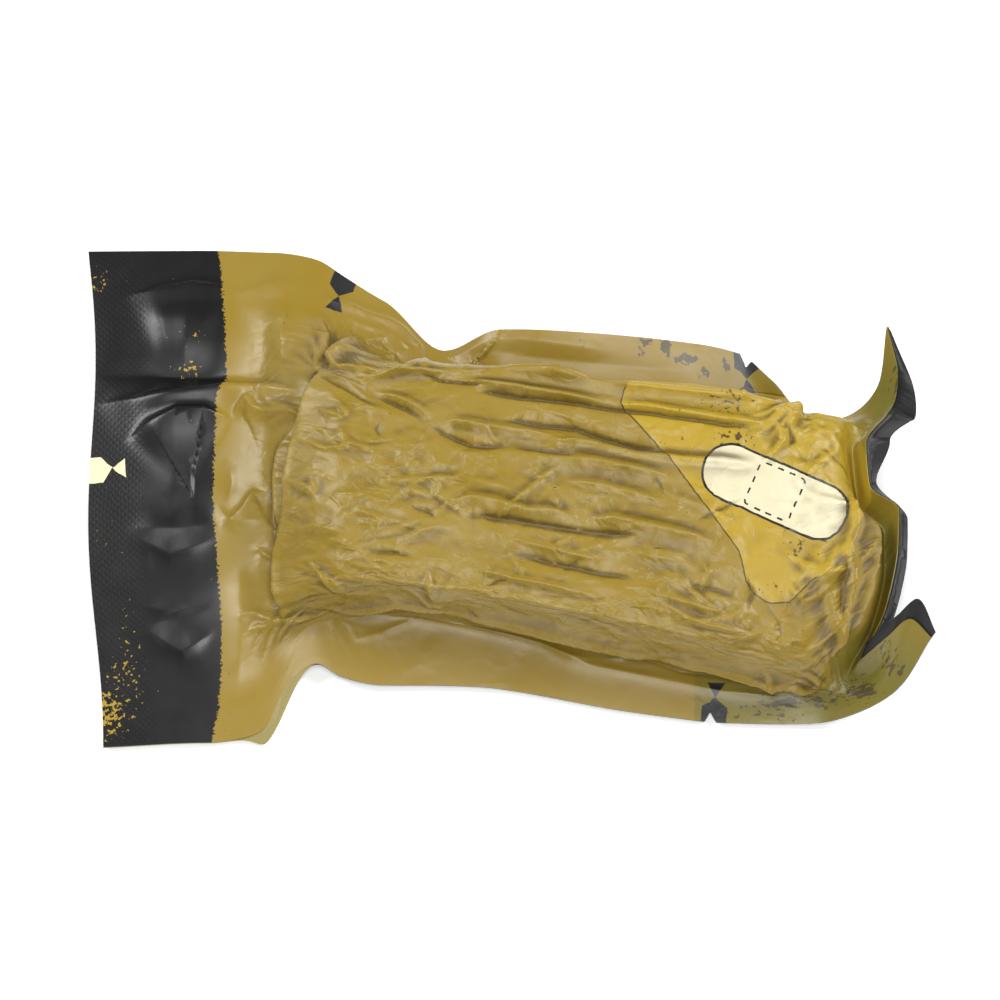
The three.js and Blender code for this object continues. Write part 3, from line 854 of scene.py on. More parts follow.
# Gathers at the corners of the dressing.
FANS = (
    Fan(322, 374, 175, 275, 62, 5, 0.8),
    Fan(332, 368, 290, 335, 90, 5, 1.3),
    Fan(300, 412, 150, 205, 50, 4, 0.9),
    Fan(284, 618, 110, 200, 56, 6, 0.9),
    Fan(330, 616, 20, 75, 60, 4, 0.6),
    Fan(420, 372, 290, 350, 46, 4, 0.8),
    Fan(836, 690, 180, 268, 76, 8, 1.0),
    Fan(796, 412, 95, 185, 60, 6, 0.9),
    Fan(820, 574, 0, 350, 44, 9, 0.6),
    Fan(436, 602, 200, 340, 46, 5, 0.7),
)
# The dressing's steep edges: the film stands high to the left of the travel and low to its right.
RIMS = (
    Fold(4.6, 8.0, 2.8, ((331, 366), (318, 378), (310, 398), (303, 425), (296, 455), (292, 485), (291, 510),
                         (286, 535), (281, 560), (280, 585), (283, 612), (288, 622))),
    Fold(2.3, 4.5, 2.6, ((300, 613), (345, 610), (398, 600), (451, 609), (560, 629), (662, 655), (745, 671),
                         (826, 692))),
    Fold(1.7, 4.5, 3.0, ((796, 409), (722, 397), (631, 387), (560, 375), (473, 364), (398, 374), (330, 369))),
)
BAND_OUTLINE = ((40, 200), (216, 200), (217, 251), (221, 282), (225, 345), (225, 383), (217, 398), (213, 496),
                (219, 572), (223, 618), (223, 676), (219, 714), (214, 741), (214, 800), (40, 800))
AMBER_OUTLINE = ((633, 380), (623, 392), (620, 403), (625, 411), (643, 431), (661, 451), (687, 484),
                 (712, 517), (737, 552), (743, 580), (751, 592), (765, 602), (787, 601), (808, 579),
                 (820, 574), (846, 568), (846, 535), (870, 500), (866, 460), (850, 412), (800, 398),
                 (700, 384))
TEAR_MARKS = (
    TearMark((338.0, 296.0), (343.0, 282.0), Ink.BLACK),
    TearMark((746.5, 378.0), (746.5, 364.0), Ink.BLACK),
    TearMark((714.0, 696.5), (713.0, 710.0), Ink.BLACK),
    TearMark((111.0, 469.5), (98.0, 470.5), Ink.CREAM),
)
# V notches cut in the film's edges: pixel column, and whether the rear edge is cut.
NOTCHES = ((344.0, True), (746.0, True), (709.0, False))

# Layers of unevenness: long ridges and waves, crumples in two sizes, soft swells, and where the ridges fade.
LONG_RIDGES = Net(8.5, 3.8, 21.0)
LONG_WAVES = Net(9.0, 5.0, 41.0)
CRUMPLES = Net(9.5, 1.35, 3.0)
FINE_CRUMPLES = Net(4.4, 1.2, 11.0)
SWELLS = Net(22.0, 1.0, 5.0)
FADING = Net(26.0, 1.0, 31.0)
# How the ridges of a net wander off their straight lines, and how steep its facets are.
WANDER_SHARE, WANDER_MM, WANDER_SEED = 0.35, 14.0, 7.0
FACET_SLOPE = 1.6

# The specks of the print, and the nets of creases too fine for the mesh.
SPLASHES = Specks(3.6, 4.0, 0.38, 0.73, 0.76)
CRACKS = Specks(1.5, 2.0, 0.24, 0.72, 0.8)
FLECKS = Specks(1.5, 3.0, 0.34, 0.74, 0.77)
LONG_CREASES = FineCreases(5.5, 3.6, math.radians(4.0), 0.4)
CROSS_CREASES = FineCreases(8.0, 1.6, math.radians(-38.0), 0.4)
SMALL_CREASES = FineCreases(3.4, 1.5, math.radians(20.0), 0.35)


def facets(chart: FilmChart, net: Net) -> np.ndarray:
    """Makes the flat facets that crumpled film breaks into, which meet in sharp ridges.

    Args:
        chart: the film.
        net: the facets' size, stretch and place in the noise.

    Returns:
        Heights from 0 to 1.
    """
    values = np.empty(chart.grid_s.shape)
    for i, s in enumerate(chart.s):
        for j, t in enumerate(chart.t):
            bend = WANDER_SHARE * noise.noise(Vector((s / WANDER_MM, t / WANDER_MM, net.seed + WANDER_SEED)))
            place = Vector((s / (net.size_mm * net.stretch) + bend, t / net.size_mm - bend, net.seed))
            near, next_near = noise.voronoi(place)[0][:2]
            values[i, j] = next_near - near
    return np.clip(1 - FACET_SLOPE * values, 0.0, 1.0)


def rolling(chart: FilmChart, net: Net) -> np.ndarray:
    """Makes soft rolling unevenness.

    Args:
        chart: the film.
        net: the swells' size, stretch and place in the noise.

    Returns:
        Heights from about -1 to 1.
    """
    step = 4
    rows = np.append(chart.s[::step], chart.s[-1] + 1.0)
    columns = np.append(chart.t[::step], chart.t[-1] + 1.0)
    long_mm = net.size_mm * net.stretch
    coarse = np.array([
        [noise.noise(Vector((s / long_mm, t / net.size_mm, net.seed))) for t in columns] for s in rows
    ])
    along = np.array([np.interp(chart.s, rows, column) for column in coarse.T])
    return np.array([np.interp(chart.t, columns, row) for row in along.T])


@dataclass
class WrinkledFilm:
    """The relief that the vacuum has drawn into the film, shared by both sheets where they are sealed."""

    chart: FilmChart
    soft_share: float = 0.2
    sharp_gain: float = 1.9
    short_gain: float = 1.0
    short_length: float = 12.0
    long_length: float = 42.0
    taper_length: float = 11.0
    longest_taper: float = 0.45
    fan_full_share: float = 0.3
    tip_width: float = 0.35
    ridge_round: float = 0.03
    ridge_offset: float = 0.17
    ridge_fall: float = 1.25
    fold_margin: float = 5.0
    rim_margin: float = 4.0
    rim_step: float = 1.1
    rim_taper: float = 0.14
    long_height: float = 0.5
    wave_share: float = 0.8
    crumple_height: float = 0.48
    fine_height: float = 0.16
    swell_height: float = 0.5
    sealed_share: float = 0.35
    steep_facing: float = 0.55
    steep_share: float = 0.25
    on_top_mm: tuple[float, float] = (-4.0, 8.0)
    fading: tuple[float, float] = (0.5, 1.3)
    scatter: Scatter = Scatter()
    gather: Gather = Gather()
    seed: int = 11

    def soft_folds(self) -> np.ndarray:
        """The broad folds that the part's own solids have too.

        Returns:
            Heights in millimetres.
        """
        along = self.chart.along(self.chart.grid_s)
        place = self.chart.grid_t / self.chart.flat_width
        total = np.zeros_like(place)
        for from_along, from_across, to_along, to_across, rise, width in SOFT_FOLDS:
            share = np.clip((along - from_along) / (to_along - from_along), 0.0, 1.0)
            away = (place - mix(from_across, to_across, share)) / width
            total += rise * np.sin(np.pi * share) ** 0.5 * np.exp(-away * away)
        total[len(self.chart.body_s):] = 0.0
        return FOLD_HEIGHT * self.soft_share * total * self.chart.parting

    def add_fold(self, total: np.ndarray, fold: Fold, line: np.ndarray, full_start: bool = False) -> None:
        """Adds one crease to the relief.

        Args:
            total: the heights so far, which this changes.
            fold: its height and widths.
            line: its corners in flat film coordinates.
            full_start: whether it has its full height where it starts.
        """
        part = self.chart.window(line, self.fold_margin * max(fold.left, fold.right))
        away, share = self.chart.line_offsets(line, part)
        length = np.hypot(*np.diff(line, axis=0).T).sum()
        ramp = min(self.longest_taper, self.taper_length / length)
        if full_start:
            taper = 1 - ease(share, self.fan_full_share, 1.0)
        else:
            taper = ease(share, 0.0, ramp) * (1 - ease(share, 1 - ramp, 1.0))
        width = np.where(away < 0, fold.left, fold.right) * (self.tip_width + (1 - self.tip_width) * taper)
        reach = np.sqrt((away / width) ** 2 + self.ridge_round) - self.ridge_offset
        total[part] += fold.height * np.exp(-reach * self.ridge_fall) * taper

    def sharp_folds(self) -> np.ndarray:
        """The creases that the photograph shows one by one.

        Returns:
            Heights in millimetres.
        """
        total = np.zeros(self.chart.grid_s.shape)
        for drawn in FOLDS:
            line = self.chart.locate(drawn.line)
            length = np.hypot(*np.diff(line, axis=0).T).sum()
            gain = mix(self.short_gain, self.sharp_gain, ease(length, self.short_length, self.long_length))
            self.add_fold(total, Fold(drawn.height * gain, drawn.left, drawn.right, ()), line)
        return total

    def scattered_folds(self, mask: np.ndarray) -> np.ndarray:
        """Small bent creases scattered over the crumpled stretches.

        Args:
            mask: where the film is crumpled.

        Returns:
            Heights in millimetres.
        """
        chart = self.chart
        strewn = self.scatter
        total = np.zeros(chart.grid_s.shape)
        draw = np.random.default_rng(self.seed)
        made = 0
        while made < strewn.creases:
            s, t = draw.uniform(*strewn.along_mm), draw.uniform(*strewn.across_mm)
            i = min(int(np.searchsorted(chart.s, s)), chart.rows)
            j = min(int(np.searchsorted(chart.t, t)), chart.columns)
            if mask[i, j] < draw.uniform(*strewn.crumpled):
                continue
            turn = draw.normal(*strewn.turn)
            bend = draw.normal(*strewn.bend)
            length = draw.uniform(*strewn.length_mm) * mix(strewn.crosswise_share, 1.0, math.cos(turn))
            leg = length / strewn.legs
            middle = (strewn.legs - 1) / 2
            line = [(s, t)]
            for k in range(strewn.legs):
                heading = turn + bend * (k - middle) / middle + draw.normal(*strewn.wobble)
                line.append((line[-1][0] + leg * math.cos(heading), line[-1][1] + leg * math.sin(heading)))
            height = draw.uniform(*strewn.height) * (
                1.0 if draw.random() < strewn.raised_share else strewn.sunk_height
            )
            fold = Fold(height, draw.uniform(*strewn.left_mm), draw.uniform(*strewn.right_mm), ())
            self.add_fold(total, fold, np.array(line))
            made += 1
        return total

    def fans(self) -> np.ndarray:
        """Gathers that spread from the corners where the film is drawn together.

        Returns:
            Heights in millimetres.
        """
        total = np.zeros(self.chart.grid_s.shape)
        draw = np.random.default_rng(self.seed + 1)
        drawn = self.gather
        for fan in FANS:
            for k in range(fan.creases):
                turn = math.radians(mix(fan.first_angle, fan.last_angle, (k + 0.5) / fan.creases))
                turn += draw.normal(*drawn.wobble)
                reach = fan.reach * draw.uniform(*drawn.reach)
                stops = ((drawn.start_px, turn), (reach / 2, turn + drawn.bow), (reach, turn))
                line = tuple(
                    (fan.column + far * math.cos(way), fan.row + far * math.sin(way)) for far, way in stops
                )
                height = fan.height * draw.uniform(*drawn.height)
                fold = Fold(height, draw.uniform(*drawn.left_mm), draw.uniform(*drawn.right_mm), ())
                self.add_fold(total, fold, self.chart.locate(line), full_start=True)
        return total

    def rims(self) -> np.ndarray:
        """The steps at the dressing's edges, where the film dips beside the folded pack.

        Returns:
            Heights in millimetres.
        """
        total = np.zeros(self.chart.grid_s.shape)
        for rim in RIMS:
            line = self.chart.locate(rim.line)
            part = self.chart.window(line, self.rim_margin * max(rim.left, rim.right))
            away, share = self.chart.line_offsets(line, part)
            turn = np.clip(away / self.rim_step, -1.0, 1.0)
            side = np.where(away < 0, np.exp(away / rim.left), np.exp(-away / rim.right))
            taper = ease(share, 0.0, self.rim_taper) * (1 - ease(share, 1 - self.rim_taper, 1.0))
            total[part] += -rim.height * turn * side * taper
        return total

    def relief(self) -> np.ndarray:
        """Adds up all the wrinkles.

        Returns:
            Heights in millimetres.
        """
        chart = self.chart
        mask = chart.patches(CRUMPLED)
        loose = mix(self.sealed_share, 1.0, chart.parting)
        on_top = ease(chart.grid_s, FLAT_LENGTH + self.on_top_mm[0], FLAT_LENGTH + self.on_top_mm[1])
        uneven = np.clip(self.fading[0] + self.fading[1] * rolling(chart, FADING), 0.0, 1.0)
        long_net = facets(chart, LONG_RIDGES) * uneven + self.wave_share * rolling(chart, LONG_WAVES)
        coarse = facets(chart, CRUMPLES) * mask
        fine = facets(chart, FINE_CRUMPLES) * mask
        facing = np.clip(chart.normals @ chart.photo.view_axis() / self.steep_facing, self.steep_share, 1.0)
        folds = (self.sharp_folds() + self.scattered_folds(mask) + self.fans()) * facing
        total = self.soft_folds() + folds * loose
        crumples = self.long_height * long_net + self.crumple_height * coarse + self.fine_height * fine
        total += crumples * on_top * loose * chart.parting
        total += self.swell_height * rolling(chart, SWELLS) * loose
        return total + self.rims()


def film_grid(
    name: str, chart: FilmChart, points: np.ndarray, attributes: dict[str, np.ndarray]
) -> bpy.types.Object:
    """Makes a sheet of film from a grid of points. Its UV maps are in millimetres, one flat and one as seen.

    Args:
        name: the piece's name.
        chart: the film's coordinates.
        points: places in millimetres, before the part is centred.
        attributes: values for the print, by name.

    Returns:
        The sheet.
    """
    rows, columns = points.shape[0] - 1, points.shape[1] - 1
    shell = bmesh.new()
    bmesh.ops.create_grid(shell, x_segments=rows, y_segments=columns, size=0.5)
    mesh = bpy.data.meshes.new(name)
    shell.to_mesh(mesh)
    shell.free()
    square = np.empty(len(mesh.vertices) * 3)
    mesh.vertices.foreach_get("co", square)
    square = square.reshape(-1, 3)
    index = np.rint((square[:, :2] * (1, -1) + 0.5) * (rows, columns)).astype(int)
    placed = points[index[:, 0], index[:, 1]] * MM
    mesh.vertices.foreach_set("co", placed.ravel())
    past = chart.s[-1] + 1.0 + np.arange(rows + 1 - len(chart.s))
    flat = np.stack([np.append(chart.s, past)[index[:, 0]], chart.t[index[:, 1]]], axis=-1)
    last = np.minimum(index[:, 0], chart.rows)
    printed = np.stack([chart.column[last, index[:, 1]], chart.row[last, index[:, 1]]], axis=-1)
    corners = np.empty(len(mesh.loops), dtype=np.int32)
    mesh.loops.foreach_get("vertex_index", corners)
    for map_name, places in (("film", flat), ("print", printed / chart.photo.pixels_per_mm)):
        layer = mesh.uv_layers.new(name=map_name)
        layer.data.foreach_set("uv", places[corners].astype(np.float32).ravel())
    for key, values in attributes.items():
        layer = mesh.attributes.new(key, "FLOAT", "POINT")
        layer.data.foreach_set("value", values[index[:, 0], index[:, 1]].astype(np.float32))
    for polygon in mesh.polygons:
        polygon.use_smooth = True
    piece = bpy.data.objects.new(name, mesh)
    bpy.context.scene.collection.objects.link(piece)
    return piece


def linear(colour: str) -> tuple[float, float, float, float]:
    """Turns an sRGB hex colour into linear values with full alpha.

    Args:
        colour: such as "#a88c3c".

    Returns:
        Red, green, blue and alpha.
    """
    shares = [int(colour[k:k + 2], 16) / 255 for k in (1, 3, 5)]
    red, green, blue = (c / 12.92 if c <= 0.04045 else ((c + 0.055) / 1.055) ** 2.4 for c in shares)
    return (red, green, blue, 1.0)


def add_node(
    tree: bpy.types.NodeTree, kind: str, inputs: dict | None = None, **settings: object
) -> bpy.types.Node:
    """Adds a node with its settings, its values and its links.

    Args:
        tree: the material's node tree.
        kind: the node's type.
        inputs: a value or an output socket for each input, by name or number.
        settings: the node's own settings.

    Returns:
        The new node.
    """
    node = tree.nodes.new(kind)
    for name, value in settings.items():
        setattr(node, name, value)
    for name, value in (inputs or {}).items():
        if isinstance(value, bpy.types.NodeSocket):
            tree.links.new(value, node.inputs[name])
        else:
            node.inputs[name].default_value = value
    return node


@dataclass(frozen=True)
class Painter:
    """Builds the print of a film, one layer of ink over another."""

    tree: bpy.types.NodeTree
    grain_roughness: float = 0.55
    wander_scale: float = 0.11
    wander_mm: float = 12.0

    def value(self, name: str) -> bpy.types.NodeSocket:
        """Reads one of the piece's own values."""
        return add_node(self.tree, "ShaderNodeAttribute", attribute_name=name).outputs["Fac"]

    def sums(self, operation: str, *values: object) -> bpy.types.NodeSocket:
        """Works out one sum."""
        return add_node(self.tree, "ShaderNodeMath", dict(enumerate(values)), operation=operation).outputs[0]

    def step(self, value: bpy.types.NodeSocket, low: float, high: float) -> bpy.types.NodeSocket:
        """Runs from 0 at low to 1 at high."""
        inputs = {"Value": value, "From Min": low, "From Max": high}
        return add_node(self.tree, "ShaderNodeMapRange", inputs).outputs["Result"]

    def grain(self, place: bpy.types.NodeSocket, size_mm: float, detail: float = 2.0) -> bpy.types.NodeSocket:
        """Makes noise with swells of a real size."""
        inputs = {
            "Vector": place, "Scale": 1.0 / size_mm, "Detail": detail, "Roughness": self.grain_roughness
        }
        return add_node(self.tree, "ShaderNodeTexNoise", inputs).outputs["Fac"]

    def specks(self, place: bpy.types.NodeSocket, name: str, specks: Specks) -> bpy.types.NodeSocket:
        """Works out where ragged specks of ink lie.

        Args:
            place: flat film coordinates.
            name: the piece's value that says where the specks are loose.
            specks: their make.

        Returns:
            The share of ink.
        """
        crumbs = self.grain(place, specks.size_mm, specks.detail)
        pulled = self.sums("ADD", self.sums("MULTIPLY", self.value(name), specks.pull), crumbs)
        return self.step(pulled, specks.start, specks.full)

    def creased(self, place: bpy.types.NodeSocket, net: FineCreases) -> bpy.types.NodeSocket:
        """Adds a net of fine sharp creases.

        Args:
            place: flat film coordinates.
            net: the creases' make.

        Returns:
            Heights from 0 to 1.
        """
        wander = add_node(self.tree, "ShaderNodeTexNoise", {
            "Vector": place, "Scale": self.wander_scale, "Detail": 2.0
        })
        bend = add_node(self.tree, "ShaderNodeVectorMath", {
            0: wander.outputs["Color"], 1: (0.5, 0.5, 0.5)
        }, operation="SUBTRACT").outputs[0]
        bent = add_node(self.tree, "ShaderNodeVectorMath", {
            0: bend, 1: (self.wander_mm, self.wander_mm, 0.0), 2: place
        }, operation="MULTIPLY_ADD").outputs[0]
        turned = add_node(self.tree, "ShaderNodeMapping", {
            "Vector": bent, "Rotation": (0.0, 0.0, net.turn),
            "Scale": (net.size_mm * net.stretch, net.size_mm, 1.0),
        }, vector_type="TEXTURE").outputs["Vector"]
        away = add_node(self.tree, "ShaderNodeTexVoronoi", {
            "Vector": turned, "Scale": 1.0
        }, feature="DISTANCE_TO_EDGE", voronoi_dimensions="2D").outputs["Distance"]
        return self.step(away, net.line, 0.0)

    def over(self, ground: object, ink: object, share: object) -> bpy.types.NodeSocket:
        """Prints an ink over a ground."""
        mixer = add_node(self.tree, "ShaderNodeMix", data_type="RGBA")
        for number, value in ((0, share), (6, ground), (7, ink)):
            if isinstance(value, bpy.types.NodeSocket):
                self.tree.links.new(value, mixer.inputs[number])
            else:
                mixer.inputs[number].default_value = value
        return mixer.outputs[2]


@dataclass(frozen=True)
class PrintedLaminate:
    """Front film: PET and PE laminate, printed on the reverse, with a satin face that shines softly.

    A pair says where a step of ink starts and where it is full. Columns and rows are pixels of the photo.
    """

    gold: str = "#8d741f"
    pale_gold: str = "#917a33"
    amber: str = "#a98d27"
    # Dark amber ink of the amber ground's edge line and cracks, which is also the colour of the painted shade
    # in tight creases.
    amber_ink_and_crease_shade: str = "#4c3b16"
    olive: str = "#6f6a2c"
    splash: str = "#50472c"
    black: str = "#0e0e10"
    fleck: str = "#a5882b"
    cream: str = "#d6ceab"
    roughness: float = 0.35
    creased_roughness: float = 0.05
    dull_crease: float = 0.08
    roughness_spread: tuple[float, float] = (-0.05, 0.07)
    hatch_pitch_mm: float = 1.5
    hatch_turns: tuple[float, float] = (math.radians(45.0), math.radians(-45.0))
    # How strongly the painted shade darkens the print in tight creases.
    crease_shade: float = 0.78
    tint_mm: float = 30.0
    tint_range: tuple[float, float] = (0.35, 0.7)
    amber_edge: float = 0.15
    amber_line_range: tuple[float, float] = (0.28, 0.14)
    amber_line_columns: tuple[float, float] = (815.0, 810.0)
    amber_line_rows: tuple[float, float] = (388.0, 391.0)
    olive_columns: tuple[float, float] = (692.5, 693.5)
    olive_rows: tuple[float, float] = (510.0, 500.0)
    band_edge: float = 0.12
    tooth_mm: float = 0.9
    tooth_depth: float = 3.0
    fleck_margin: float = 2.0
    mark_edge: float = 0.08
    cross_weight: float = 1.2
    small_weight: float = 0.5
    grain_weight: float = 0.5
    grain_mm: float = 4.2
    patch_mm: float = 16.0
    patch_range: tuple[float, float] = (0.35, 0.6)
    crinkle_depth: float = 0.0006
    crinkle_strength: float = 0.6
    hatch_depth: float = 0.0002
    hatch_strength: float = 0.12

    def make(self, chart: FilmChart) -> bpy.types.Material:
        """Builds the material.

        Args:
            chart: the film, which says where the print's marks lie.

        Returns:
            The material.
        """
        material = bpy.data.materials.new("printed_pet_pe_laminate_satin")
        material.use_nodes = True
        tree = material.node_tree
        shader = tree.nodes["Principled BSDF"]
        paint = Painter(tree)
        flat = add_node(tree, "ShaderNodeUVMap", uv_map="film").outputs["UV"]
        seen = add_node(tree, "ShaderNodeUVMap", uv_map="print").outputs["UV"]

        scale = chart.photo.pixels_per_mm
        pixels = add_node(tree, "ShaderNodeVectorMath", {
            0: seen, 1: (scale, scale, 0.0)
        }, operation="MULTIPLY")
        parts = add_node(tree, "ShaderNodeSeparateXYZ", {"Vector": pixels.outputs[0]})
        column, row = parts.outputs["X"], parts.outputs["Y"]

        tint = paint.step(paint.grain(flat, self.tint_mm), *self.tint_range)
        colour = paint.over(linear(self.gold), linear(self.pale_gold), tint)
        amber = paint.value("amber")
        colour = paint.over(colour, linear(self.amber), paint.step(amber, -self.amber_edge, self.amber_edge))
        line = paint.step(paint.sums("ABSOLUTE", amber), *self.amber_line_range)
        line = paint.sums("MULTIPLY", line, paint.step(column, *self.amber_line_columns))
        line = paint.sums("MULTIPLY", line, paint.step(row, *self.amber_line_rows))
        colour = paint.over(colour, linear(self.amber_ink_and_crease_shade), line)
        to_right = paint.step(column, *self.olive_columns)
        to_rear = paint.step(row, *self.olive_rows)
        olive = paint.sums("MULTIPLY", paint.value("olive"), paint.sums("MAXIMUM", to_right, to_rear))
        colour = paint.over(colour, linear(self.olive), olive)
        colour = self.speckle(paint, flat, colour)
        colour = self.band(paint, flat, colour)
        for mark in TEAR_MARKS:
            colour = self.tear_mark(paint, seen, colour, chart, mark)
        colour = self.plaster(paint, seen, colour, chart, Plaster())
        # Painted shade: the print darkens towards the dark amber ink in tight creases, standing in for the
        # shade that falls in them.
        deep = paint.sums("MULTIPLY", paint.sums("MULTIPLY", paint.value("crease_shade_mask"), paint.value("slack")),
                          self.crease_shade)
        colour = paint.over(colour, linear(self.amber_ink_and_crease_shade), deep)
        tree.links.new(colour, shader.inputs["Base Color"])

        low, high = (self.roughness + spread for spread in self.roughness_spread)
        rough = add_node(tree, "ShaderNodeMapRange", {
            "Value": paint.grain(flat, 9.0, 3.0), "To Min": low, "To Max": high
        }).outputs["Result"]
        rough = paint.sums("MULTIPLY_ADD", paint.value("slack"), self.creased_roughness, rough)
        rough = paint.sums("MULTIPLY_ADD", deep, self.dull_crease, rough)
        tree.links.new(rough, shader.inputs["Roughness"])
        shader.inputs["IOR"].default_value = LAMINATE_IOR
        tree.links.new(self.relief(paint, flat), shader.inputs["Normal"])
        return material

    def speckle(
        self, paint: Painter, flat: bpy.types.NodeSocket, colour: bpy.types.NodeSocket
    ) -> bpy.types.NodeSocket:
        """Prints the splashes of the margins and the small cracks of the amber ground.

        Args:
            paint: the tree's painter.
            flat: flat film coordinates.
            colour: the colour so far.

        Returns:
            The colour with the specks.
        """
        colour = paint.over(colour, linear(self.splash), paint.specks(flat, "splashed", SPLASHES))
        return paint.over(colour, linear(self.amber_ink_and_crease_shade), paint.specks(flat, "cracked", CRACKS))

    def band(
        self, paint: Painter, flat: bpy.types.NodeSocket, colour: bpy.types.NodeSocket
    ) -> bpy.types.NodeSocket:
        """Prints the black band of the flat end, with its rough edge and its gold flecks.

        Args:
            paint: the tree's painter.
            flat: flat film coordinates.
            colour: the colour so far.

        Returns:
            The colour with the band.
        """
        band = paint.value("band")
        uneven = paint.sums("SUBTRACT", paint.grain(flat, self.tooth_mm), 0.5)
        reach = paint.sums("ADD", band, paint.sums("MULTIPLY", uneven, self.tooth_depth))
        colour = paint.over(colour, linear(self.black), paint.step(reach, -self.band_edge, self.band_edge))
        inside = paint.step(band, 0.0, self.fleck_margin)
        shown = paint.sums("MULTIPLY", paint.specks(flat, "flecked", FLECKS), inside)
        return paint.over(colour, linear(self.fleck), shown)

    def tear_mark(
        self,
        paint: Painter,
        seen: bpy.types.NodeSocket,
        colour: bpy.types.NodeSocket,
        chart: FilmChart,
        mark: TearMark,
    ) -> bpy.types.NodeSocket:
        """Prints one tear mark.

        Args:
            paint: the tree's painter.
            seen: the print's coordinates.
            colour: the colour so far.
            chart: the film.
            mark: the mark's place, way and ink.

        Returns:
            The colour with the mark.
        """
        scale = chart.photo.pixels_per_mm
        turn = math.atan2(mark.toward[1] - mark.tip[1], mark.toward[0] - mark.tip[0])
        local = add_node(paint.tree, "ShaderNodeMapping", {
            "Vector": seen, "Location": (mark.tip[0] / scale, mark.tip[1] / scale, 0.0),
            "Rotation": (0.0, 0.0, turn),
        }, vector_type="TEXTURE").outputs["Vector"]
        parts = add_node(paint.tree, "ShaderNodeSeparateXYZ", {"Vector": local})
        out, side = parts.outputs["X"], paint.sums("ABSOLUTE", parts.outputs["Y"])
        slope = mark.half_width / mark.reach
        edge = self.mark_edge
        triangle = paint.sums("SUBTRACT", paint.sums("MULTIPLY", out, -slope), side)
        inside = paint.sums("MULTIPLY", paint.step(triangle, -edge, edge),
                            paint.step(out, -mark.reach - edge, -mark.reach + edge))
        widest = paint.sums("MINIMUM", paint.sums("MULTIPLY", out, mark.block_slope), mark.block_width)
        block = paint.step(paint.sums("SUBTRACT", widest, side), -edge, edge)
        near = paint.sums("MULTIPLY", block, paint.step(out, mark.block_reach, mark.block_reach - 1))
        both = paint.sums("MAXIMUM", inside, near)
        return paint.over(colour, linear(mark.ink.value), both)

    def plaster(
        self,
        paint: Painter,
        seen: bpy.types.NodeSocket,
        colour: bpy.types.NodeSocket,
        chart: FilmChart,
        plaster: Plaster,
    ) -> bpy.types.NodeSocket:
        """Prints a plain sticking plaster in cream with a dark outline.

        Args:
            paint: the tree's painter.
            seen: the print's coordinates.
            colour: the colour so far.
            chart: the film.
            plaster: its place and sizes.

        Returns:
            The colour with the plaster.
        """
        scale = chart.photo.pixels_per_mm
        local = add_node(paint.tree, "ShaderNodeMapping", {
            "Vector": seen, "Location": (plaster.middle[0] / scale, plaster.middle[1] / scale, 0.0),
            "Rotation": (0.0, 0.0, plaster.turn),
        }, vector_type="TEXTURE").outputs["Vector"]
        strip = self.rounded(paint, local, plaster.half_length, plaster.half_width, plaster.corner)
        colour = paint.over(colour, linear(self.cream), paint.step(strip, plaster.edge, -plaster.edge))
        outline = paint.step(paint.sums("ABSOLUTE", strip), *plaster.outline)
        pad_half_width = plaster.half_width - plaster.pad_inset
        pad = self.rounded(paint, local, plaster.pad_half_length, pad_half_width, plaster.pad_corner)
        pad_outline = paint.step(paint.sums("ABSOLUTE", pad), *plaster.pad_outline)
        dashes = add_node(paint.tree, "ShaderNodeTexChecker", {"Vector": local, "Scale": plaster.dash_scale})
        pad_line = paint.sums("MULTIPLY", pad_outline, dashes.outputs["Fac"])
        lines = paint.sums("MAXIMUM", outline, pad_line)
        return paint.over(colour, linear(self.black), lines)

    def rounded(
        self,
        paint: Painter,
        local: bpy.types.NodeSocket,
        half_length: float,
        half_width: float,
        corner: float,
    ) -> bpy.types.NodeSocket:
        """Measures from the outline of a rounded rectangle.

        Args:
            paint: the tree's painter.
            local: coordinates from its middle, in millimetres.
            half_length: half its length.
            half_width: half its width.
            corner: the radius of its corners.

        Returns:
            The distance, negative inside.
        """
        tree = paint.tree
        size = (half_length - corner, half_width - corner, 0.0)
        away = add_node(tree, "ShaderNodeVectorMath", {0: local}, operation="ABSOLUTE").outputs[0]
        past = add_node(tree, "ShaderNodeVectorMath", {0: away, 1: size}, operation="SUBTRACT").outputs[0]
        outside = add_node(tree, "ShaderNodeVectorMath", {0: past, 1: (0.0, 0.0, 0.0)}, operation="MAXIMUM")
        far = add_node(tree, "ShaderNodeVectorMath", {0: outside.outputs[0]}, operation="LENGTH")
        parts = add_node(tree, "ShaderNodeSeparateXYZ", {"Vector": past})
        inside = paint.sums("MINIMUM", paint.sums("MAXIMUM", parts.outputs["X"], parts.outputs["Y"]), 0.0)
        return paint.sums("SUBTRACT", paint.sums("ADD", far.outputs["Value"], inside), corner)

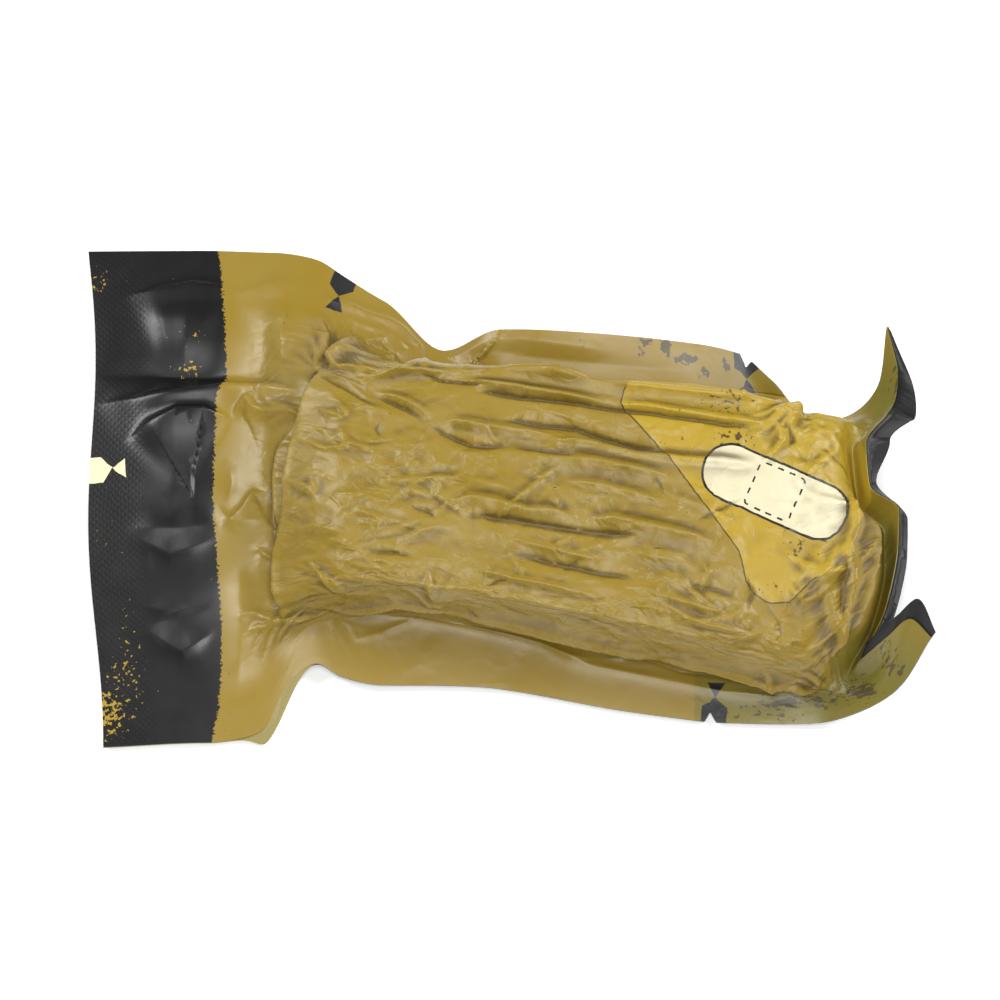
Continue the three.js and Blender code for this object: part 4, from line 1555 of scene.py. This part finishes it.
    def relief(self, paint: Painter, flat: bpy.types.NodeSocket) -> bpy.types.NodeSocket:
        """Gives the film its fine creases and the pressed hatching of its seal.

        Args:
            paint: the tree's painter.
            flat: flat film coordinates.

        Returns:
            The bumped normal.
        """
        tree = paint.tree
        hatch = None
        for turn in self.hatch_turns:
            turned = add_node(tree, "ShaderNodeMapping", {"Vector": flat, "Rotation": (0.0, 0.0, turn)})
            waves = add_node(tree, "ShaderNodeTexWave", {
                "Vector": turned.outputs["Vector"], "Scale": BAND_WAVELENGTH / self.hatch_pitch_mm
            }, wave_type="BANDS", bands_direction="X").outputs["Fac"]
            hatch = waves if hatch is None else paint.sums("MULTIPLY", hatch, waves)
        pressed = paint.sums("MULTIPLY", hatch, paint.value("seal"))
        small_net = paint.sums("MULTIPLY", paint.creased(flat, SMALL_CREASES), paint.value("crumpled"))
        crinkle = paint.creased(flat, LONG_CREASES)
        crinkle = paint.sums("MULTIPLY_ADD", paint.creased(flat, CROSS_CREASES), self.cross_weight, crinkle)
        crinkle = paint.sums("MULTIPLY_ADD", small_net, self.small_weight, crinkle)
        patchy = paint.step(paint.grain(flat, self.patch_mm), *self.patch_range)
        crinkle = paint.sums("MULTIPLY", crinkle, patchy)
        grain = paint.grain(flat, self.grain_mm, 3.0)
        crinkle = paint.sums("MULTIPLY_ADD", grain, self.grain_weight, crinkle)
        crinkle = paint.sums("MULTIPLY", crinkle, paint.value("slack"))
        fine = add_node(tree, "ShaderNodeBump", {
            "Height": crinkle, "Distance": self.crinkle_depth, "Strength": self.crinkle_strength
        })
        grid = add_node(tree, "ShaderNodeBump", {
            "Height": pressed, "Distance": self.hatch_depth, "Strength": self.hatch_strength,
            "Normal": fine.outputs["Normal"],
        })
        return grid.outputs["Normal"]


@dataclass(frozen=True)
class PrintedBack:
    """Back film: the same laminate printed black, with a khaki ground near its edges, and a satin face."""

    black: str = "#1b1b1d"
    khaki: str = "#8d8148"
    roughness: float = 0.42
    uneven_mm: float = 1.4
    uneven_share: float = 0.5
    khaki_range: tuple[float, float] = (0.48, 0.54)
    ripple_mm: float = 4.0
    ripple_depth: float = 0.0006
    ripple_strength: float = 0.4

    def make(self) -> bpy.types.Material:
        """Builds the material.

        Returns:
            The material.
        """
        material = bpy.data.materials.new("printed_pet_pe_laminate_back_satin")
        material.use_nodes = True
        tree = material.node_tree
        shader = tree.nodes["Principled BSDF"]
        paint = Painter(tree)
        flat = add_node(tree, "ShaderNodeUVMap", uv_map="film").outputs["UV"]
        uneven = paint.sums("SUBTRACT", paint.grain(flat, self.uneven_mm, 2.5), 0.5)
        reach = paint.sums("MULTIPLY_ADD", uneven, self.uneven_share, paint.value("khaki"))
        colour = paint.over(linear(self.black), linear(self.khaki), paint.step(reach, *self.khaki_range))
        tree.links.new(colour, shader.inputs["Base Color"])
        shader.inputs["Roughness"].default_value = self.roughness
        shader.inputs["IOR"].default_value = LAMINATE_IOR
        bump = add_node(tree, "ShaderNodeBump", {
            "Height": paint.grain(flat, self.ripple_mm, 3.0), "Distance": self.ripple_depth,
            "Strength": self.ripple_strength,
        })
        tree.links.new(bump.outputs["Normal"], shader.inputs["Normal"])
        return material


@dataclass(frozen=True)
class CottonGauze:
    """Dressing: unbleached cotton gauze, an open plain weave that is matt and a little fuzzy."""

    thread: str = "#ece6d4"
    gap: str = "#c9c0a6"
    thread_pitch_mm: float = 1.0
    thread_sway: float = 0.6
    thread_depth: float = 0.0003
    roughness: float = 0.9
    fuzz: float = 0.2

    def make(self) -> bpy.types.Material:
        """Builds the material.

        Returns:
            The material.
        """
        material = bpy.data.materials.new("cotton_gauze_woven")
        material.use_nodes = True
        tree = material.node_tree
        shader = tree.nodes["Principled BSDF"]
        paint = Painter(tree)
        place = add_node(tree, "ShaderNodeTexCoord").outputs["Object"]
        threads = None
        for direction in ("X", "Y", "Z"):
            waves = add_node(tree, "ShaderNodeTexWave", {
                "Vector": place, "Scale": BAND_WAVELENGTH / (self.thread_pitch_mm * MM),
                "Distortion": self.thread_sway,
            }, wave_type="BANDS", bands_direction=direction).outputs["Fac"]
            threads = waves if threads is None else paint.sums("MAXIMUM", threads, waves)
        colour = paint.over(linear(self.gap), linear(self.thread), threads)
        tree.links.new(colour, shader.inputs["Base Color"])
        shader.inputs["Roughness"].default_value = self.roughness
        shader.inputs["Sheen Weight"].default_value = self.fuzz
        bump = add_node(tree, "ShaderNodeBump", {
            "Height": threads, "Distance": self.thread_depth, "Strength": 0.6
        })
        tree.links.new(bump.outputs["Normal"], shader.inputs["Normal"])
        return material


@dataclass(frozen=True)
class PaperSweep:
    """Floor: matt white paper, lit a little from below so that it stays white."""

    white: str = "#f7f7f7"
    glow: float = 0.25
    roughness: float = 0.9
    fibre_scale: float = 900.0
    fibre_depth: float = 0.0001

    def make(self) -> bpy.types.Material:
        """Builds the material.

        Returns:
            The material.
        """
        material = bpy.data.materials.new("paper_sweep_matt")
        material.use_nodes = True
        tree = material.node_tree
        shader = tree.nodes["Principled BSDF"]
        place = add_node(tree, "ShaderNodeTexCoord").outputs["Object"]
        fibres = add_node(tree, "ShaderNodeTexNoise", {
            "Vector": place, "Scale": self.fibre_scale, "Detail": 2.0
        })
        bump = add_node(tree, "ShaderNodeBump", {
            "Height": fibres.outputs["Fac"], "Distance": self.fibre_depth, "Strength": 0.1
        })
        shader.inputs["Base Color"].default_value = linear(self.white)
        shader.inputs["Roughness"].default_value = self.roughness
        shader.inputs["Emission Color"].default_value = linear(self.white)
        shader.inputs["Emission Strength"].default_value = self.glow
        tree.links.new(bump.outputs["Normal"], shader.inputs["Normal"])
        return material


@dataclass
class Pouch:
    """The two printed films of the pouch.

    A pair says where a change starts and ends: along or across the flat film, or as a share of the parting.
    """

    chart: FilmChart
    film_thickness: float = 0.3
    sealed_gap: float = 0.5
    notch_depth: float = 0.022
    notch_width: float = 1.7
    notch_steps: int = 14
    seal_fade: tuple[float, float] = (SEAL_WIDTH + 1.6, SEAL_WIDTH + 2.4)
    slack_start: tuple[float, float] = (FLAT_LENGTH - 18, FLAT_LENGTH + 4)
    sealed_slack: float = 0.1
    olive_parting: tuple[float, float] = (0.2, 0.6)
    flap_s: float = 56.0
    flap_spread: float = 7.0
    flap_t: tuple[float, float] = (148.0, 160.0)
    flap_reach: float = 6.5
    khaki_t: tuple[float, float] = (140.0, 152.0)
    khaki_s: tuple[float, float] = (60.0, 75.0)
    peel_rows: int = 4
    # The reach and the depth of the crease mask that darkens the print as painted shade.
    pinch_steps: tuple[int, ...] = (-5, -3, 3, 5)
    crease_depth: float = 0.3
    front_triangles: int = 98000
    back_triangles: int = 60000

    def __post_init__(self) -> None:
        """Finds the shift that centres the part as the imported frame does, and the wrinkles."""
        back_low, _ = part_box("back_film")
        front_low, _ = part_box("front_film")
        low_y = min(front_low[1], back_low[1]) / MM
        self.shift = np.array([back_low[0] / MM - LEFT_X, low_y - FRONT_EDGE_Y, 0.0])
        self.relief = WrinkledFilm(self.chart).relief()

    def centred(self, points: np.ndarray) -> np.ndarray:
        """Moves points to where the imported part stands."""
        return points + self.shift

    def notched(self, points: np.ndarray) -> np.ndarray:
        """Cuts the V notches by drawing the edge in along the sheet.

        Args:
            points: the sheet's grid.

        Returns:
            The grid with its notches.
        """
        cut = points.copy()
        column, _ = self.chart.photo.project(points)
        width = self.notch_width * self.chart.photo.pixels_per_mm
        for middle, rear in NOTCHES:
            edge = 0 if rear else self.chart.columns
            depth = np.clip(1 - np.abs(column[:, edge] - middle) / width, 0, 1) * self.notch_depth
            for k in range(self.notch_steps):
                j = k if rear else self.chart.columns - k
                move = depth * (1 - k / self.notch_steps) * self.chart.columns
                source = np.clip(j + (move if rear else -move), 0, self.chart.columns)
                low = np.floor(source).astype(int)
                high = np.minimum(low + 1, self.chart.columns)
                share = (source - low)[:, None]
                rows = np.arange(len(points))
                cut[:, j] = mix(points[rows, low], points[rows, high], share)
        return cut

    def crease_shade_mask(self) -> np.ndarray:
        """Says how deep each place lies in a tight crease, where the front film's colour is darkened as
        painted shade.

        Returns:
            The depth, from 0 to 1.
        """
        around = np.zeros_like(self.relief)
        for steps in self.pinch_steps:
            for axis in (0, 1):
                around += np.roll(self.relief, steps, axis) / (2 * len(self.pinch_steps))
        return np.clip((around - self.relief) / self.crease_depth, 0.0, 1.0)

    def front(self) -> bpy.types.Object:
        """Makes the printed front film.

        Returns:
            The front film.
        """
        chart = self.chart
        points = self.notched(chart.points + chart.normals * self.relief[..., None])
        seal = 1 - ease(chart.grid_s, *self.seal_fade)
        slack = ease(chart.grid_s, *self.slack_start) * mix(self.sealed_slack, 1.0, chart.parting)
        attributes = {
            "band": chart.outline_depth(BAND_OUTLINE),
            "amber": chart.outline_depth(AMBER_OUTLINE),
            "seal": seal,
            "slack": slack,
            "crumpled": chart.patches(CRUMPLED),
            "crease_shade_mask": self.crease_shade_mask(),
            "flecked": chart.patches(FLECKED),
            "cracked": chart.patches(CRACKED),
            "splashed": chart.patches(SPLASHED),
            "olive": chart.patches(OLIVE) * (1 - ease(chart.parting, *self.olive_parting)),
        }
        piece = film_grid("front_film_printed", chart, self.centred(points), attributes)
        piece.data.materials.append(PrintedLaminate().make(chart))
        self.thicken(piece, self.front_triangles)
        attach(piece, "root")
        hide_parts("front_film")
        return piece

    def back(self) -> bpy.types.Object:
        """Makes the back film, flat on the floor and sealed to the front film.

        Returns:
            The back film.
        """
        chart = self.chart
        lowest = self.film_thickness / 2
        sealed = chart.points + chart.normals * (self.relief - self.sealed_gap)[..., None]
        floor = chart.points.copy()
        floor[..., 2] = lowest
        under = np.where(sealed[..., 2:3] > lowest, floor, sealed)
        points = mix(sealed, under, chart.parting[..., None])
        points[..., 2] = np.maximum(points[..., 2], lowest)
        flap = np.exp(-((chart.grid_s - self.flap_s) / self.flap_spread) ** 2)
        flap *= ease(chart.grid_t, *self.flap_t)
        points[..., 1] -= flap * self.flap_reach
        points = self.notched(points)
        peel = smooth_through(PEEL[:, 0], PEEL[:, 1:].T, chart.place).T
        reach = peel * np.array([END_FLANGE, BLOCK_WIDTH, BLOCK_HEIGHT])
        extra = [points[-1] + reach * (k + 1) / self.peel_rows for k in range(self.peel_rows)]
        points = np.concatenate([points, np.array(extra)])
        khaki = ease(chart.grid_t, *self.khaki_t) * (1 - ease(chart.grid_s, *self.khaki_s))
        khaki = np.concatenate([khaki, np.zeros((self.peel_rows, chart.columns + 1))])
        piece = film_grid("back_film_printed", chart, self.centred(points), {"khaki": khaki})
        piece.data.materials.append(PrintedBack().make())
        self.thicken(piece, self.back_triangles)
        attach(piece, "root")
        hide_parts("back_film")
        return piece

    def thicken(self, piece: bpy.types.Object, triangles: int) -> None:
        """Keeps the fine mesh at the creases alone, and gives the sheet the thickness of its film.

        Args:
            piece: the sheet.
            triangles: how many triangles one face of it keeps.
        """
        thin = piece.modifiers.new("thin", "DECIMATE")
        thin.ratio = triangles / (2 * len(piece.data.polygons))
        held = piece.evaluated_get(bpy.context.evaluated_depsgraph_get())
        mesh = bpy.data.meshes.new_from_object(held)
        piece.modifiers.clear()
        piece.data = mesh
        mesh.name = piece.name
        sheet = bmesh.new()
        sheet.from_mesh(mesh)
        for edge in sheet.edges:
            edge.smooth = not edge.is_boundary
        sheet.to_mesh(mesh)
        sheet.free()
        wall = piece.modifiers.new("film", "SOLIDIFY")
        wall.thickness = self.film_thickness * MM
        wall.offset = 0.0


@dataclass
class FoldedDressing:
    """The bandage itself, folded in layers to a flat pack."""

    chart: FilmChart
    shift: np.ndarray
    first_s: float = 67.0
    last_s: float = 214.0
    first_t: float = 27.0
    last_t: float = 118.0
    inset: float = 3.4
    base: float = 1.2
    cuts: int = 39
    layers: int = 8
    layer_relief: float = 0.35
    side_share: float = 0.499
    flat_share: float = 0.01

    def make(self) -> bpy.types.Object:
        """Builds the pack from a cube that is cut up and drawn into the space between the films.

        Returns:
            The dressing.
        """
        pack = bmesh.new()
        bmesh.ops.create_cube(pack, size=1.0)
        bmesh.ops.subdivide_edges(pack, edges=pack.edges[:], cuts=self.cuts, use_grid_fill=True)
        chart = self.chart
        inner = chart.points - chart.normals * self.inset
        for vertex in pack.verts:
            u, v, w = vertex.co.x + 0.5, 0.5 - vertex.co.y, vertex.co.z + 0.5
            i = np.interp(mix(self.first_s, self.last_s, u), chart.s, np.arange(len(chart.s)))
            j = np.interp(mix(self.first_t, self.last_t, v), chart.t, np.arange(len(chart.t)))
            top = inner[int(round(i)), int(round(j))]
            place = np.array([top[0], top[1], mix(self.base, top[2], w)])
            layer = self.layer_relief * math.cos(2 * math.pi * self.layers * w)
            on_side = max(abs(vertex.co.x), abs(vertex.co.y)) > self.side_share
            if on_side and self.flat_share < w < 1 - self.flat_share:
                outward = np.array([vertex.co.x, vertex.co.y, 0.0])
                place = place + outward / np.linalg.norm(outward) * layer
            vertex.co = (place + self.shift) * MM
        bmesh.ops.recalc_face_normals(pack, faces=pack.faces[:])
        mesh = bpy.data.meshes.new("dressing_pack")
        pack.to_mesh(mesh)
        pack.free()
        for polygon in mesh.polygons:
            polygon.use_smooth = True
        piece = bpy.data.objects.new("dressing_pack", mesh)
        bpy.context.scene.collection.objects.link(piece)
        piece.data.materials.append(CottonGauze().make())
        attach(piece, "root")
        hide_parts("folded_dressing")
        return piece


@dataclass(frozen=True)
class Lamp:
    """A soft square light that faces the pouch: its place and side in metres, and its power in watts."""

    name: str
    place: tuple[float, float, float]
    side: float
    power: float


@dataclass(frozen=True)
class Studio:
    """A pale sweep, soft lights from both sides, above and the front, and a camera at the photo's angle."""

    photo: PhotoFrame = PhotoFrame()
    photo_px: int = 1000
    camera_distance: float = 4.0
    sensor_mm: float = 36.0
    aim_mm: tuple[float, float, float] = (-2.7, 0.05, 0.0)
    far_clip: float = 50.0
    floor_size: float = 6.0
    sky: float = 0.15
    lamps: tuple[Lamp, ...] = (
        Lamp("key_left", (-1.15, 0.55, 1.2), 0.6, 17.5),
        Lamp("key_right", (1.15, 0.55, 1.2), 0.6, 18.0),
        Lamp("top", (0.0, -0.4, 1.6), 0.5, 9.5),
        Lamp("front", (0.2, -1.1, 1.4), 0.8, 10.5),
    )

    def camera(self) -> bpy.types.Object:
        """Makes the scene's camera.

        Returns:
            The camera.
        """
        data = bpy.data.cameras.new("camera")
        data.sensor_width = self.sensor_mm
        field_mm = self.photo_px / self.photo.pixels_per_mm
        data.lens = self.sensor_mm * self.camera_distance / (field_mm * MM)
        data.clip_end = self.far_clip
        camera = bpy.data.objects.new("camera", data)
        away = Vector(self.photo.view_axis())
        camera.location = Vector(self.aim_mm) * MM + away * self.camera_distance
        camera.rotation_euler = away.to_track_quat("Z", "Y").to_euler()
        bpy.context.scene.collection.objects.link(camera)
        bpy.context.scene.camera = camera
        return camera

    def floor(self) -> bpy.types.Object:
        """Makes the floor.

        Returns:
            The floor.
        """
        sheet = bmesh.new()
        bmesh.ops.create_grid(sheet, x_segments=2, y_segments=2, size=self.floor_size / 2)
        mesh = bpy.data.meshes.new("floor")
        sheet.to_mesh(mesh)
        sheet.free()
        floor = bpy.data.objects.new("floor", mesh)
        bpy.context.scene.collection.objects.link(floor)
        mesh.materials.append(PaperSweep().make())
        return floor

    def light(self, lamp: Lamp) -> None:
        """Hangs a lamp.

        Args:
            lamp: its name, place, side and power.
        """
        data = bpy.data.lights.new(lamp.name, "AREA")
        data.size = lamp.side
        data.energy = lamp.power
        hung = bpy.data.objects.new(lamp.name, data)
        hung.location = lamp.place
        hung.rotation_euler = Vector(lamp.place).to_track_quat("Z", "Y").to_euler()
        bpy.context.scene.collection.objects.link(hung)

    def build(self) -> None:
        """Sets up the whole studio."""
        self.camera()
        self.floor()
        for lamp in self.lamps:
            self.light(lamp)
        world = bpy.data.worlds.new("studio")
        world.use_nodes = True
        sky = world.node_tree.nodes["Background"]
        sky.inputs["Color"].default_value = (1.0, 1.0, 1.0, 1.0)
        sky.inputs["Strength"].default_value = self.sky
        bpy.context.scene.world = world
        bpy.context.scene.view_settings.view_transform = "Standard"


def main() -> None:
    """Builds the studio and the pouch, and logs the face count of each piece."""
    logging.basicConfig(level=logging.INFO, format="%(message)s")
    Studio().build()
    chart = FilmChart()
    pouch = Pouch(chart)
    dressing = FoldedDressing(chart, pouch.shift).make()
    log.info("%s: %d faces", dressing.name, len(dressing.data.polygons))
    front = pouch.front()
    log.info("%s: %d faces", front.name, len(front.data.polygons))
    back = pouch.back()
    log.info("%s: %d faces", back.name, len(back.data.polygons))
    bpy.context.view_layer.update()


if __name__ == "__main__":
    main()
